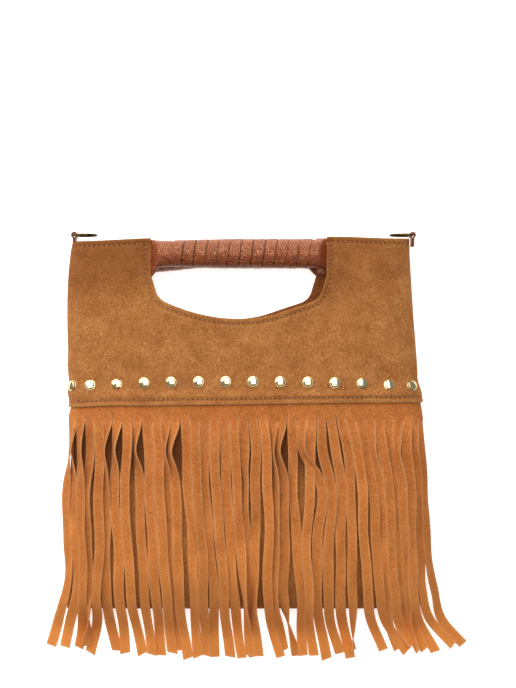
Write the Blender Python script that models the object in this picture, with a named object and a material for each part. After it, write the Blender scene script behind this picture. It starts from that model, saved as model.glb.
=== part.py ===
# Fringed suede hand bag, lying on its back panel.
# X runs across the bag, Y from the bottom fold to the handles, Z up through its thickness.
# The origin is in the middle of the back panel, where the bag rests.

from math import acos, copysign, cos, hypot, pi, sin, tau

import bmesh
import bpy
from mathutils import Vector

# Body outline, seen from the front
BODY_HEIGHT = 0.290
TOP_HALF_WIDTH = 0.130
BOTTOM_HALF_WIDTH = 0.1385

# Filled shape of the lying bag
SEAM_HEIGHT = 0.015
BOTTOM_SEAM_HEIGHT = 0.010
LOWER_RISE = 0.027
FOLD_LENGTH = 0.045
SECTION_POWER = 3.0
FOLD_POWER = 2.2
BACK_FLAT_SHARE = 0.80
BACK_RISE_LENGTH = 0.085
FRONT_ROW_HIGH = -0.020
FRONT_ROW_LOW = -0.060

# Leather and clearances
SUEDE = 0.0014
STRIP_SUEDE = 0.0012
STRAP_LEATHER = 0.0012
CLEARANCE = 0.0003
LEVEL_SLACK = 0.0001
NORMAL_STEP = 0.002
NORMAL_SHARE = 0.002

# Yoke and fringe
YOKE_EDGE = 0.016
YOKE_OVERLAP = 0.0065
YOKE_STEP = 0.0025
STRIP_PITCH = 0.0075
SLIT_WIDTH = 0.0003
SLIT_TOP = 0.0063
SLIT_SCATTER = 0.0035
FRINGE_DROP = 0.038
FRINGE_EDGE_SHARE = 0.985
FOLD_LIP_SHARE = 0.02
DRAPE_SLOPE = 1.6
STRIP_LIFT = 0.0003
SPREAD_START = 0.012
SLOPE_STEP = 0.0015
PAST_FOLD_ROWS = (0.0008, 0.0045, 0.0085, 0.0125)

# Hand hole
NOTCH_HALF_WIDTH = 0.069
NOTCH_DEPTH = 0.063
NOTCH_SHOULDER = 0.029
NOTCH_LEAN = 0.0055
NOTCH_FLOOR_RISE = 0.0156
NOTCH_CORNER = 0.006
NOTCH_CENTRE = -0.004
BACK_NOTCH_SHIFT = -0.007
NOTCH_CUT_FLOOR = -0.02
NOTCH_CUT_HEIGHT = 0.09

# Handles
HANDLE_DROP = 0.0125
BACK_HANDLE_DROP = 0.002
CORE_RADIUS = 0.0084
LACE = 0.0011
LACE_PITCH = 0.0092
LACE_OVERLAP = 0.001
LACE_HALF_LENGTH = 0.0595
TONGUE_THICKNESS = 0.0016
TONGUE_HALF_HEIGHT = 0.0148
TONGUE_LENGTH = 0.012

# Studs
STUD_COUNT = 14
STUD_PITCH = 0.0211
STUD_SHIFT = -0.003
STUD_RADIUS = 0.0043
STUD_HEIGHT = 0.0030
STUD_ROW = 0.0335
STUD_ROW_SAG = 0.0035
STUD_SIDE_LIFT = 0.0005

# D-rings and their loops
RING_WIRE = 0.0012
RING_HALF_HEIGHT = 0.010
RING_DEPTH = 0.017
RING_CORNER = 0.0025
LOOP_HEIGHT = 0.013
LOOP_LEG = 0.009
LOOP_STANDOFF = 0.0003
LOOP_RISE = 0.0025

# Worked out from the sizes above
TOP_Y = BODY_HEIGHT / 2
BOTTOM_Y = -TOP_Y
HANDLE_Y = TOP_Y - HANDLE_DROP
BACK_FLAT_TOP = TOP_Y - BACK_RISE_LENGTH
LACE_START_RADIUS = CORE_RADIUS + CLEARANCE
HANDLE_RADIUS = LACE_START_RADIUS + 2 * LACE
BACK_HANDLE_Z = HANDLE_RADIUS + CLEARANCE
FRONT_HANDLE_Z = BACK_HANDLE_Z + 2 * HANDLE_RADIUS + CLEARANCE
FRINGE_LEVEL = CLEARANCE + SUEDE / 2
UPPER_LEVEL = FRINGE_LEVEL + STRIP_SUEDE + CLEARANCE + LEVEL_SLACK
YOKE_RAISED = 2 * CLEARANCE + 2 * SUEDE
PANEL_TOP = YOKE_EDGE + YOKE_OVERLAP
NOTCH_SIDE_Y = TOP_Y - NOTCH_SHOULDER


def smooth(t):
    t = min(max(t, 0.0), 1.0)
    return t * t * (3 - 2 * t)


def between(knots, place):
    # Straight-line reading of a short list of (place, value) pairs.
    if place <= knots[0][0]:
        return knots[0][1]
    for (left, low), (right, high) in zip(knots, knots[1:]):
        if place <= right:
            return low + (high - low) * (place - left) / (right - left)
    return knots[-1][1]


def make_material(name, colour, roughness, metallic=0.0):
    material = bpy.data.materials.new(name)
    material.use_nodes = True
    shader = material.node_tree.nodes["Principled BSDF"]
    shader.inputs["Base Color"].default_value = (*colour, 1.0)
    shader.inputs["Roughness"].default_value = roughness
    shader.inputs["Metallic"].default_value = metallic
    material.diffuse_color = (*colour, 1.0)
    return material


def add_object(name, bm, material, location=(0, 0, 0), smooth_angle=None):
    bmesh.ops.recalc_face_normals(bm, faces=bm.faces)
    if bm.calc_volume(signed=True) < 0:
        bmesh.ops.reverse_faces(bm, faces=bm.faces)
    mesh = bpy.data.meshes.new(name)
    bm.to_mesh(mesh)
    bm.free()
    if smooth_angle is not None:
        mesh.shade_smooth()
        mesh.set_sharp_from_angle(angle=smooth_angle)
    mesh.materials.append(material)
    piece = bpy.data.objects.new(name, mesh)
    piece.location = location
    bpy.context.scene.collection.objects.link(piece)
    return piece


# Outline and height of the filled body. An offset of 0 is the outer face of the suede body,
# and layers over it or inside it have a positive or a negative offset.

def half_width(y):
    share = (TOP_Y - y) / BODY_HEIGHT
    return TOP_HALF_WIDTH + (BOTTOM_HALF_WIDTH - TOP_HALF_WIDTH) * share


def seam_height(y):
    share = smooth((y - BOTTOM_Y) / (2 * FOLD_LENGTH))
    return BOTTOM_SEAM_HEIGHT + (SEAM_HEIGHT - BOTTOM_SEAM_HEIGHT) * share


def section(f):
    return (1 - min(abs(f), 1.0) ** SECTION_POWER) ** (1 / SECTION_POWER)


def back_section(f):
    past_flat = max(0.0, (abs(f) - BACK_FLAT_SHARE) / (1 - BACK_FLAT_SHARE))
    return (1 - min(past_flat, 1.0) ** FOLD_POWER) ** (1 / FOLD_POWER)


def fold(share):
    return (1 - (1 - min(share, 1.0)) ** FOLD_POWER) ** (1 / FOLD_POWER)


# The top of the front is held up by the front handle, which lies on the back one.
TONGUE_DEPTH = SUEDE + CLEARANCE + TONGUE_THICKNESS / 2
NOTCH_SHARE = (NOTCH_HALF_WIDTH - NOTCH_CENTRE) / half_width(HANDLE_Y)
TOP_RISE = (FRONT_HANDLE_Z - SEAM_HEIGHT) / section(NOTCH_SHARE)
BACK_LIFT = BACK_HANDLE_Z - TONGUE_DEPTH


def front_rise(y):
    share = smooth((y - BOTTOM_Y) / BODY_HEIGHT)
    return LOWER_RISE + (TOP_RISE - LOWER_RISE) * share


def back_lift(y):
    return BACK_LIFT * smooth((y - BACK_FLAT_TOP) / (HANDLE_Y - BACK_FLAT_TOP))


def row_place(y, offset):
    # Y and fullness of a row, where rows inside the bottom fold are pushed out by the offset.
    share = (y - BOTTOM_Y) / FOLD_LENGTH
    if share >= 1:
        return y, 1.0
    return BOTTOM_Y - offset + share * (FOLD_LENGTH + offset), fold(max(share, 0.0))


def front_point(f, y, offset):
    place, fullness = row_place(y, offset)
    x = (half_width(y) + offset) * f
    z = seam_height(y) + CLEARANCE / 2 + (front_rise(y) + offset) * fullness * section(f)
    return Vector((x, place, z))


def back_point(f, y, offset):
    place, fullness = row_place(y, offset)
    x = (half_width(y) + offset) * f
    depth = seam_height(y) - CLEARANCE / 2 - back_lift(y) + offset
    z = seam_height(y) - CLEARANCE / 2 - depth * fullness * back_section(f)
    return Vector((x, place, z))


def front_normal(f, y, offset):
    across = front_point(f + NORMAL_SHARE, y, offset) - front_point(f - NORMAL_SHARE, y, offset)
    along = front_point(f, y + NORMAL_STEP, offset) - front_point(f, y - NORMAL_STEP, offset)
    return across.cross(along).normalized()


def share_at_arc(distance, y, offset):
    # Share of the half width that lies at a distance from the middle, measured over the suede.
    step = 1 / 200
    f = 0.0
    run = 0.0
    here = front_point(0, y, offset)
    while f < 1:
        f += step
        there = front_point(f, y, offset)
        length = (there - here).length
        if run + length >= abs(distance):
            return copysign(f - step * (run + length - abs(distance)) / length, distance)
        run += length
        here = there
    return copysign(1.0, distance)


def arc_to_share(target, y, offset):
    steps = 200
    points = [front_point(target * i / steps, y, offset) for i in range(steps + 1)]
    return sum((b - a).length for a, b in zip(points, points[1:]))


# Sheets of suede, each closed all round

def column_shares(columns):
    # Columns stand closer together where the suede turns down at the sides.
    half = columns // 2
    right = [1 - (1 - i / half) ** 1.8 for i in range(1, half + 1)]
    return [-f for f in reversed(right)] + [0.0] + right


def back_column_shares():
    turn = [BACK_FLAT_SHARE + (1 - BACK_FLAT_SHARE) * t for t in (0.0, 0.4, 0.7, 0.9, 1.0)]
    return [-f for f in reversed(turn)] + [-BACK_FLAT_SHARE / 2, 0.0, BACK_FLAT_SHARE / 2] + turn


def fold_rows():
    return [BOTTOM_Y + FOLD_LENGTH * share for share in (0.0, 0.05, 0.15, 0.33, 0.6, 1.0)]


def close_sheet(outer, inner):
    # Two grids of points, joined face to face and round their rim into one solid.
    bm = bmesh.new()
    layers = [[[bm.verts.new(point) for point in row] for row in grid] for grid in (outer, inner)]
    rows = len(outer)
    columns = len(outer[0])
    for layer in layers:
        for r in range(rows - 1):
            for c in range(columns - 1):
                bm.faces.new((layer[r][c], layer[r][c + 1], layer[r + 1][c + 1], layer[r + 1][c]))
    rim = [(0, c) for c in range(columns)]
    rim += [(r, columns - 1) for r in range(1, rows)]
    rim += [(rows - 1, c) for c in range(columns - 2, -1, -1)]
    rim += [(r, 0) for r in range(rows - 2, 0, -1)]
    for (r0, c0), (r1, c1) in zip(rim, rim[1:] + rim[:1]):
        bm.faces.new((layers[0][r0][c0], layers[0][r1][c1], layers[1][r1][c1], layers[1][r0][c0]))
    return bm


def front_panel(material):
    rows = fold_rows() + [FRONT_ROW_LOW, FRONT_ROW_HIGH, PANEL_TOP]
    shares = column_shares(20)
    outer = [[front_point(f, y, 0.0) for f in shares] for y in rows]
    inner = [[front_point(f, y, -SUEDE) for f in shares] for y in rows]
    return add_object("front_panel", close_sheet(outer, inner), material, smooth_angle=pi / 4)


def yoke_offset(y):
    # The yoke lies over the fringe band and the panel, and steps down to the body above them.
    share = (y - PANEL_TOP - CLEARANCE) / YOKE_STEP
    return YOKE_RAISED * (1 - min(max(share, 0.0), 1.0))


def front_yoke(material):
    step_top = PANEL_TOP + CLEARANCE + YOKE_STEP
    rows = [YOKE_EDGE, PANEL_TOP + CLEARANCE, step_top]
    rows += [step_top + (TOP_Y - step_top) * i / 5 for i in range(1, 6)]
    shares = column_shares(20)
    outer = [[front_point(f, y, yoke_offset(y)) for f in shares] for y in rows]
    inner = [[front_point(f, y, yoke_offset(y) - SUEDE) for f in shares] for y in rows]
    yoke = add_object("front_yoke", close_sheet(outer, inner), material, smooth_angle=pi / 4)
    cut_notch(yoke, NOTCH_CENTRE)
    return yoke


def back_panel(material):
    rise = (HANDLE_Y - BACK_FLAT_TOP) / 3
    rows = fold_rows() + [BACK_FLAT_TOP + rise * i for i in range(4)] + [TOP_Y]
    shares = back_column_shares()
    outer = [[back_point(f, y, 0.0) for f in shares] for y in rows]
    inner = [[back_point(f, y, -SUEDE) for f in shares] for y in rows]
    panel = add_object("back_panel", close_sheet(outer, inner), material, smooth_angle=pi / 4)
    cut_notch(panel, NOTCH_CENTRE + BACK_NOTCH_SHIFT)
    return panel


def notch_outline(centre):
    # Sides that lean in below the handle, round corners, and a floor that sags in a shallow curve.
    floor_y = TOP_Y - NOTCH_DEPTH
    corner_x = NOTCH_HALF_WIDTH - NOTCH_LEAN
    shoulder = Vector((NOTCH_HALF_WIDTH, NOTCH_SIDE_Y))
    corner = Vector((corner_x, floor_y + NOTCH_FLOOR_RISE))
    side_end = corner + (shoulder - corner).normalized() * NOTCH_CORNER
    floor_x = corner_x - NOTCH_CORNER
    floor_end = Vector((floor_x, floor_y + NOTCH_FLOOR_RISE * (floor_x / corner_x) ** 2))
    half = [Vector((NOTCH_HALF_WIDTH, TOP_Y + NOTCH_SHOULDER)), shoulder]
    for i in range(5):
        t = i / 4
        half.append(side_end.lerp(corner, t).lerp(corner.lerp(floor_end, t), t))
    for i in range(7, -1, -1):
        x = floor_x * i / 8
        half.append(Vector((x, floor_y + NOTCH_FLOOR_RISE * (x / corner_x) ** 2)))
    right = [(centre + p.x, p.y) for p in half]
    left = [(centre - p.x, p.y) for p in reversed(half[:-1])]
    return right + left


def cut_notch(panel, centre):
    bm = bmesh.new()
    floor = [bm.verts.new((x, y, NOTCH_CUT_FLOOR)) for x, y in notch_outline(centre)]
    base = bm.faces.new(floor)
    grown = bmesh.ops.extrude_face_region(bm, geom=[base])
    raised = [item for item in grown["geom"] if isinstance(item, bmesh.types.BMVert)]
    bmesh.ops.translate(bm, verts=raised, vec=(0, 0, NOTCH_CUT_HEIGHT))
    cutter = add_object(panel.name + "_notch", bm, panel.data.materials[0])
    cutter.hide_render = True
    cutter.display_type = "WIRE"
    cut = panel.modifiers.new("notch", "BOOLEAN")
    cut.operation = "DIFFERENCE"
    cut.solver = "MANIFOLD"
    cut.object = cutter


# Fringe: one band of suede, slit into strips that lie over the panel and down to the table.
# The lists give (share of half width, sideways travel) at the bottom fold and at the strip ends.
DRIFT_AT_FOLD = (
    (-1.0, -0.001), (-0.7, 0.0025), (-0.3, 0.0132), (-0.15, 0.0134),
    (0.17, -0.0055), (0.4, -0.0068), (0.65, -0.001), (0.8, 0.007), (1.0, 0.012),
)
SPREAD_AT_END = (
    (-1.0, -0.012), (-0.84, -0.006), (-0.72, 0.004), (0.0, 0.007),
    (0.5, 0.010), (0.8, 0.016), (1.0, 0.023),
)
END_ROUNDING = 0.011


def draped_height(x, y, offset):
    # Height of a strip's middle layer: over the body inside its outline, then down to the table.
    low_y = BOTTOM_Y - offset
    share = max(FOLD_LIP_SHARE, (y - low_y) / (FOLD_LENGTH + offset))
    inside_y = low_y + share * (FOLD_LENGTH + offset)
    reach = half_width(inside_y) + offset
    f = min(abs(x) / reach, FRINGE_EDGE_SHARE)
    rise = (front_rise(inside_y) + offset) * fold(share) * section(f)
    over_body = seam_height(inside_y) + CLEARANCE / 2 + rise
    past_edge = hypot(max(0.0, abs(x) - reach), max(0.0, low_y - y))
    on_table = STRIP_SUEDE / 2 + CLEARANCE + offset - FRINGE_LEVEL
    return max(on_table, over_body - DRAPE_SLOPE * past_edge)


def draped_point(x, y, offset):
    return Vector((x, y, draped_height(x, y, offset)))


def draped_normal(x, y, offset):
    slope_x = draped_height(x + SLOPE_STEP, y, offset) - draped_height(x - SLOPE_STEP, y, offset)
    slope_y = draped_height(x, y + SLOPE_STEP, offset) - draped_height(x, y - SLOPE_STEP, offset)
    return Vector((-slope_x, -slope_y, 2 * SLOPE_STEP)).normalized()


def strip_rows(end):
    past_fold = [BOTTOM_Y - travel for travel in PAST_FOLD_ROWS]
    body = [FRONT_ROW_HIGH, FRONT_ROW_LOW] + list(reversed(fold_rows()[1:]))
    return body + past_fold + [(past_fold[-1] + end) / 2, end]


def strip_sections(index, share):
    # Four corners at each row of one strip, from just under its slit to its cut end.
    end = BOTTOM_Y - FRINGE_DROP + END_ROUNDING * abs(share) ** 6
    rows = strip_rows(end)
    upper = index % 2
    path = []
    for y in rows:
        fallen = smooth((SLIT_TOP - y) / (SLIT_TOP - BOTTOM_Y))
        spread_from = BOTTOM_Y + SPREAD_START
        spread = max(0.0, (spread_from - y) / (spread_from - end)) ** 1.5
        climb = smooth((SLIT_TOP - y) / (SLIT_TOP - rows[0]))
        offset = FRINGE_LEVEL + (STRIP_LIFT + (UPPER_LEVEL - FRINGE_LEVEL) * upper) * climb
        x = (half_width(max(y, BOTTOM_Y)) + offset) * share
        x += between(DRIFT_AT_FOLD, share) * fallen + between(SPREAD_AT_END, share) * spread
        path.append((x, y, offset))
    points = [draped_point(*place) for place in path]
    corners = []
    for k, place in enumerate(path):
        ahead = points[min(k + 1, len(points) - 1)] - points[max(k - 1, 0)]
        normal = draped_normal(*place)
        side = normal.cross(ahead).normalized()
        normal = ahead.cross(side).normalized()
        half = (STRIP_PITCH - SLIT_WIDTH) / 2
        lift = STRIP_SUEDE / 2
        centre = points[k]
        corners.append((
            centre - side * half + normal * lift, centre + side * half + normal * lift,
            centre + side * half - normal * lift, centre - side * half - normal * lift,
        ))
    return corners


def band_corners(left, right, y_left, y_right):
    # The band lies on the panel, so its corners follow the body.
    corners = []
    for arc, y, offset in (
        (left, y_left, FRINGE_LEVEL + STRIP_SUEDE / 2), (right, y_right, FRINGE_LEVEL + STRIP_SUEDE / 2),
        (right, y_right, FRINGE_LEVEL - STRIP_SUEDE / 2), (left, y_left, FRINGE_LEVEL - STRIP_SUEDE / 2),
    ):
        corners.append(front_point(share_at_arc(arc, SLIT_TOP, FRINGE_LEVEL), y, offset))
    return corners


def slit_top(index):
    return SLIT_TOP + SLIT_SCATTER * sin(2.4 * index)


def front_fringe(material):
    half_arc = arc_to_share(FRINGE_EDGE_SHARE, SLIT_TOP, FRINGE_LEVEL)
    count = int(2 * half_arc / STRIP_PITCH)
    bm = bmesh.new()
    strips = []
    for i in range(count):
        left = (i - count / 2) * STRIP_PITCH + SLIT_WIDTH / 2
        right = left + STRIP_PITCH - SLIT_WIDTH
        share = share_at_arc((left + right) / 2, SLIT_TOP, FRINGE_LEVEL)
        rings = [band_corners(left, right, PANEL_TOP, PANEL_TOP)]
        rings.append(band_corners(left, right, slit_top(i), slit_top(i + 1)))
        rings += strip_sections(i, share)
        strips.append([[bm.verts.new(point) for point in ring] for ring in rings])
    for rings in strips:
        for upper, lower in zip(rings, rings[1:]):
            bm.faces.new((upper[0], upper[1], lower[1], lower[0]))
            bm.faces.new((upper[3], upper[2], lower[2], lower[3]))
        for upper, lower in zip(rings[1:], rings[2:]):
            bm.faces.new((upper[0], upper[3], lower[3], lower[0]))
            bm.faces.new((upper[1], upper[2], lower[2], lower[1]))
        bm.faces.new(rings[0])
        bm.faces.new(rings[-1])
    for (top, slit), (next_top, next_slit) in zip([r[:2] for r in strips], [r[:2] for r in strips[1:]]):
        bm.faces.new((top[1], next_top[0], next_slit[0], slit[1]))
        bm.faces.new((top[2], next_top[3], next_slit[3], slit[2]))
        bm.faces.new((top[1], next_top[0], next_top[3], top[2]))
        bm.faces.new((slit[1], next_slit[0], next_slit[3], slit[2]))
    first, last = strips[0], strips[-1]
    bm.faces.new((first[0][0], first[0][3], first[1][3], first[1][0]))
    bm.faces.new((last[0][1], last[0][2], last[1][2], last[1][1]))
    return add_object("front_fringe", bm, material)


# Handles: a round leather core with flat flared ends, and one lace wound round it

def loft(sections):
    bm = bmesh.new()
    rings = [[bm.verts.new(point) for point in section_points] for section_points in sections]
    count = len(rings[0])
    for a, b in zip(rings, rings[1:]):
        for i in range(count):
            j = (i + 1) % count
            bm.faces.new((a[i], a[j], b[j], b[i]))
    bm.faces.new(rings[0])
    bm.faces.new(rings[-1])
    return bm


def handle_core(name, centre, tongue_height, material):
    # Half sections from the end of the sewn tongue to where the lace starts.
    sides = 12
    flare = NOTCH_HALF_WIDTH - LACE_HALF_LENGTH
    half = [
        (NOTCH_HALF_WIDTH + TONGUE_LENGTH, TONGUE_HALF_HEIGHT, TONGUE_THICKNESS / 2, 1.0),
        (NOTCH_HALF_WIDTH - CLEARANCE, TONGUE_HALF_HEIGHT, TONGUE_THICKNESS / 2, 1.0),
        (NOTCH_HALF_WIDTH - 0.35 * flare, 0.80 * TONGUE_HALF_HEIGHT, 0.55 * CORE_RADIUS, 0.5),
        (NOTCH_HALF_WIDTH - 0.70 * flare, 1.20 * CORE_RADIUS, 0.90 * CORE_RADIUS, 0.1),
        (LACE_HALF_LENGTH, CORE_RADIUS, CORE_RADIUS, 0.0),
    ]
    stations = [(-run, *rest) for run, *rest in half] + [(run, *rest) for run, *rest in reversed(half)]
    sections = []
    for run, high, thick, tongue in stations:
        x = centre.x + run
        z = centre.z + (tongue_height(x) - centre.z) * tongue
        ring = []
        for i in range(sides):
            angle = tau * i / sides
            ring.append(Vector((x, centre.y + high * cos(angle), z + thick * sin(angle))))
        sections.append(ring)
    return add_object(name, loft(sections), material, smooth_angle=pi / 3)


def handle_lace(name, centre, material):
    # The far edge of each turn climbs over the near edge of the next one.
    steps_per_turn = 10
    turns = (2 * LACE_HALF_LENGTH - LACE_PITCH - LACE_OVERLAP) / LACE_PITCH
    low = LACE_START_RADIUS / cos(pi / steps_per_turn)
    profile = (
        (0.0, low), (0.82 * LACE_PITCH, low),
        (0.975 * LACE_PITCH, low + LACE + 0.6 * CLEARANCE),
        (LACE_PITCH + LACE_OVERLAP, low + 2 * LACE), (0.05 * LACE_PITCH, low + LACE),
    )
    steps = int(turns * steps_per_turn)
    sections = []
    for k in range(steps + 1):
        angle = tau * k / steps_per_turn
        x = centre.x - LACE_HALF_LENGTH + LACE_PITCH * k / steps_per_turn
        sections.append([
            Vector((x + run, centre.y + radius * sin(angle), centre.z + radius * cos(angle)))
            for run, radius in profile
        ])
    return add_object(name, loft(sections), material, smooth_angle=pi / 4)


def front_tongue_height(x):
    f = x / half_width(HANDLE_Y)
    return front_point(f, HANDLE_Y, -SUEDE).z - CLEARANCE - TONGUE_THICKNESS / 2


def back_tongue_height(x):
    f = x / half_width(HANDLE_Y)
    return back_point(f, HANDLE_Y, -SUEDE).z + CLEARANCE + TONGUE_THICKNESS / 2


# Studs: a low dome with a thin rim, flat behind

def stud(index, mesh_sides, material):
    arc = (index - (STUD_COUNT - 1) / 2) * STUD_PITCH + STUD_SHIFT
    f = share_at_arc(arc, STUD_ROW, 0.0)
    y = STUD_ROW - STUD_ROW_SAG * f * f
    rim = 0.15 * STUD_HEIGHT
    neck = 0.86 * STUD_RADIUS
    profile = [(STUD_RADIUS, 0.0), (STUD_RADIUS, rim), (neck, rim)]
    dome = STUD_HEIGHT - rim
    profile += [(neck * cos(a), rim + dome * sin(a)) for a in (0.5, 1.0)]
    bm = bmesh.new()
    rings = []
    for radius, height in profile:
        ring = []
        for i in range(mesh_sides):
            angle = tau * i / mesh_sides
            ring.append(bm.verts.new((radius * cos(angle), radius * sin(angle), height)))
        rings.append(ring)
    tip = bm.verts.new((0, 0, STUD_HEIGHT))
    for a, b in zip(rings, rings[1:]):
        for i in range(mesh_sides):
            j = (i + 1) % mesh_sides
            bm.faces.new((a[i], a[j], b[j], b[i]))
    for i in range(mesh_sides):
        bm.faces.new((rings[-1][i], rings[-1][(i + 1) % mesh_sides], tip))
    bm.faces.new(rings[0])
    normal = front_normal(f, y, yoke_offset(y))
    seat = front_point(f, y, yoke_offset(y)) + normal * stud_standoff(f)
    piece = add_object(f"stud_{index + 1:02d}", bm, material, location=seat, smooth_angle=pi / 5)
    piece.rotation_mode = "QUATERNION"
    piece.rotation_quaternion = Vector((0, 0, 1)).rotation_difference(normal)
    return piece


def stud_standoff(f):
    # Clear of the faceted yoke below it, and a little more where the suede turns down.
    return CLEARANCE + STUD_SIDE_LIFT * abs(f) ** 4


# D-rings and the leather loops that hold them

def loop_centre(side):
    leg_gap = CLEARANCE
    x = TOP_HALF_WIDTH + LOOP_STANDOFF + CLEARANCE + STRAP_LEATHER + leg_gap / 2
    return Vector((side * x, TOP_Y + LOOP_RISE, SEAM_HEIGHT))


def ring_loop(name, side, material):
    # One strap folded round the ring, with both legs sewn to the end of the side seam.
    inner = (RING_WIRE + CLEARANCE) / cos(pi / 14)
    radius = inner + STRAP_LEATHER / 2
    leg = (STRAP_LEATHER + CLEARANCE) / 2
    start = pi - acos(leg / radius) + pi / 2
    path = [(-leg, -LOOP_LEG)]
    turn_from = -pi / 2 - (start - pi)
    turn_to = turn_from - (tau - 2 * (start - pi))
    for i in range(13):
        angle = turn_from + (turn_to - turn_from) * i / 12
        path.append((radius * cos(angle), radius * sin(angle)))
    path.append((leg, -LOOP_LEG))
    left, right = [], []
    for k, here in enumerate(path):
        before = Vector(path[max(k - 1, 0)])
        after = Vector(path[min(k + 1, len(path) - 1)])
        ahead = (after - before).normalized()
        across = Vector((-ahead.y, ahead.x)) * STRAP_LEATHER / 2
        left.append(Vector(here) + across)
        right.append(Vector(here) - across)
    outline = left + list(reversed(right))
    centre = loop_centre(side)
    bm = bmesh.new()
    low, high = [
        [bm.verts.new((side * p.x, p.y, z)) for p in outline]
        for z in (-LOOP_HEIGHT / 2, LOOP_HEIGHT / 2)
    ]
    count = len(path)
    for ring in (low, high):
        for k in range(count - 1):
            bm.faces.new((ring[k], ring[k + 1], ring[-2 - k], ring[-1 - k]))
    total = len(outline)
    for k in range(total):
        j = (k + 1) % total
        bm.faces.new((low[k], low[j], high[j], high[k]))
    return add_object(name, bm, material, location=centre)


def ring_path():
    # Straight bar, two short arms and a half circle, as (depth, height) pairs.
    r = RING_CORNER
    h = RING_HALF_HEIGHT
    bow = RING_DEPTH - h
    upper = [(0.0, h - r), (r - r * cos(pi / 4), h - r + r * sin(pi / 4)), (r, h)]
    arc = [(bow + h * cos(a), h * sin(a)) for a in [pi / 2 - pi * i / 8 for i in range(9)]]
    lower = [(x, -z) for x, z in reversed(upper)]
    return upper + arc + lower


def d_ring(name, side, material):
    wire_sides = 8
    path = [Vector((-side * depth, 0.0, height)) for depth, height in ring_path()]
    count = len(path)
    bm = bmesh.new()
    rings = []
    for k, here in enumerate(path):
        arriving = (here - path[k - 1]).normalized()
        leaving = (path[(k + 1) % count] - here).normalized()
        ahead = (arriving + leaving).normalized()
        outward = ahead.cross(Vector((0, 1, 0))).normalized()
        mitre = 1 / max(0.7, arriving.dot(ahead))
        ring = []
        for i in range(wire_sides):
            angle = tau * i / wire_sides
            shift = outward * (cos(angle) * mitre) + Vector((0, sin(angle), 0))
            ring.append(bm.verts.new(here + shift * RING_WIRE))
        rings.append(ring)
    for a, b in zip(rings, rings[1:] + rings[:1]):
        for i in range(wire_sides):
            j = (i + 1) % wire_sides
            bm.faces.new((a[i], a[j], b[j], b[i]))
    return add_object(name, bm, material, location=loop_centre(side), smooth_angle=pi / 3)


def build_bag():
    suede = make_material("tan_suede", (0.46, 0.17, 0.05), 0.95)
    fringe_suede = make_material("fringe_suede", (0.54, 0.20, 0.05), 0.95)
    leather = make_material("cognac_leather", (0.27, 0.075, 0.022), 0.45)
    brass = make_material("pale_brass", (0.62, 0.53, 0.28), 0.2, 1.0)
    dark_brass = make_material("dark_brass", (0.22, 0.16, 0.08), 0.35, 1.0)

    back_panel(suede)
    front_panel(suede)
    front_yoke(suede)
    front_fringe(fringe_suede)

    front = Vector((NOTCH_CENTRE, HANDLE_Y, FRONT_HANDLE_Z))
    back = Vector((NOTCH_CENTRE + BACK_NOTCH_SHIFT, HANDLE_Y - BACK_HANDLE_DROP, BACK_HANDLE_Z))
    handle_core("front_handle_core", front, front_tongue_height, leather)
    handle_lace("front_handle_lace", front, leather)
    handle_core("back_handle_core", back, back_tongue_height, leather)
    handle_lace("back_handle_lace", back, leather)

    for index in range(STUD_COUNT):
        stud(index, 10, brass)
    for name, side in (("left", -1), ("right", 1)):
        ring_loop(f"{name}_ring_loop", side, leather)
        d_ring(f"{name}_d_ring", side, dark_brass)


for leftover in list(bpy.data.objects):
    bpy.data.objects.remove(leftover)
build_bag()
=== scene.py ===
from math import acos, copysign, cos, pi, radians, sin, tau

import bmesh
import bpy
import numpy as np
from mathutils import Matrix, Vector


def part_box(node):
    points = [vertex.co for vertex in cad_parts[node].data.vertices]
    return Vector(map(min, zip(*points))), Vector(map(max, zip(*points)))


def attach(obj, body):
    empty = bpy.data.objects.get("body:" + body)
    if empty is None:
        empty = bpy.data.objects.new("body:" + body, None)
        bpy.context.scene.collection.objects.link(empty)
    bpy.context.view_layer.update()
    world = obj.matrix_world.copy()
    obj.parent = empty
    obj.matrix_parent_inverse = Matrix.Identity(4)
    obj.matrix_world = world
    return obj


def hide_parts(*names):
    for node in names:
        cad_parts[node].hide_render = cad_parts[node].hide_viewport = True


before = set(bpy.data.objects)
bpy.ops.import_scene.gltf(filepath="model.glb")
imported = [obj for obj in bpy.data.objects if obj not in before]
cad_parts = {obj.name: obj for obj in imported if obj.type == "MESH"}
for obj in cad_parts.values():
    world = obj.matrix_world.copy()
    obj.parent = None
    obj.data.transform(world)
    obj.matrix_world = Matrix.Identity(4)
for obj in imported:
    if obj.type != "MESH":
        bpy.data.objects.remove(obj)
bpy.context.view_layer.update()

# Back panel
# One piece of cow suede the full height of the bag, with a hand hole cut in its top edge. It is
# flat where the bag lies on it, turns up round the sides, and is sewn to the front along them.
SUEDE = 0.0014
GAP = 0.0003
TOP_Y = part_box("front_yoke")[1][1]
BOTTOM_Y = -TOP_Y
TOP_HALF_WIDTH = 0.130
BOTTOM_HALF_WIDTH = 0.1385
SIDE_SEAM_HEIGHT = 0.015
BOTTOM_SEAM_HEIGHT = 0.010
LOWER_RISE = 0.027
FOLD_LENGTH = 0.045
BACK_FLAT_SHARE = 0.80
BACK_FLAT_TOP = 0.060
HOLE_HALF_WIDTH = 0.068
HOLE_CENTRE = -0.0035
BACK_HOLE_CENTRE = -0.011
HOLE_SHOULDER_Y = TOP_Y - 0.029
HOLE_FLOOR_Y = TOP_Y - 0.063
HOLE_FLOOR_RISE = 0.0156
HOLE_LEAN = 0.0055
HOLE_CORNER = 0.006
HOLE_UNEVEN = 0.0013
HOLE_CUT_FLOOR = -0.02
HOLE_CUT_HEIGHT = 0.11
TONGUE_THICKNESS = 0.0016
CORNER_DROP = 0.0015
TOP_TILT = 0.0011
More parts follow.
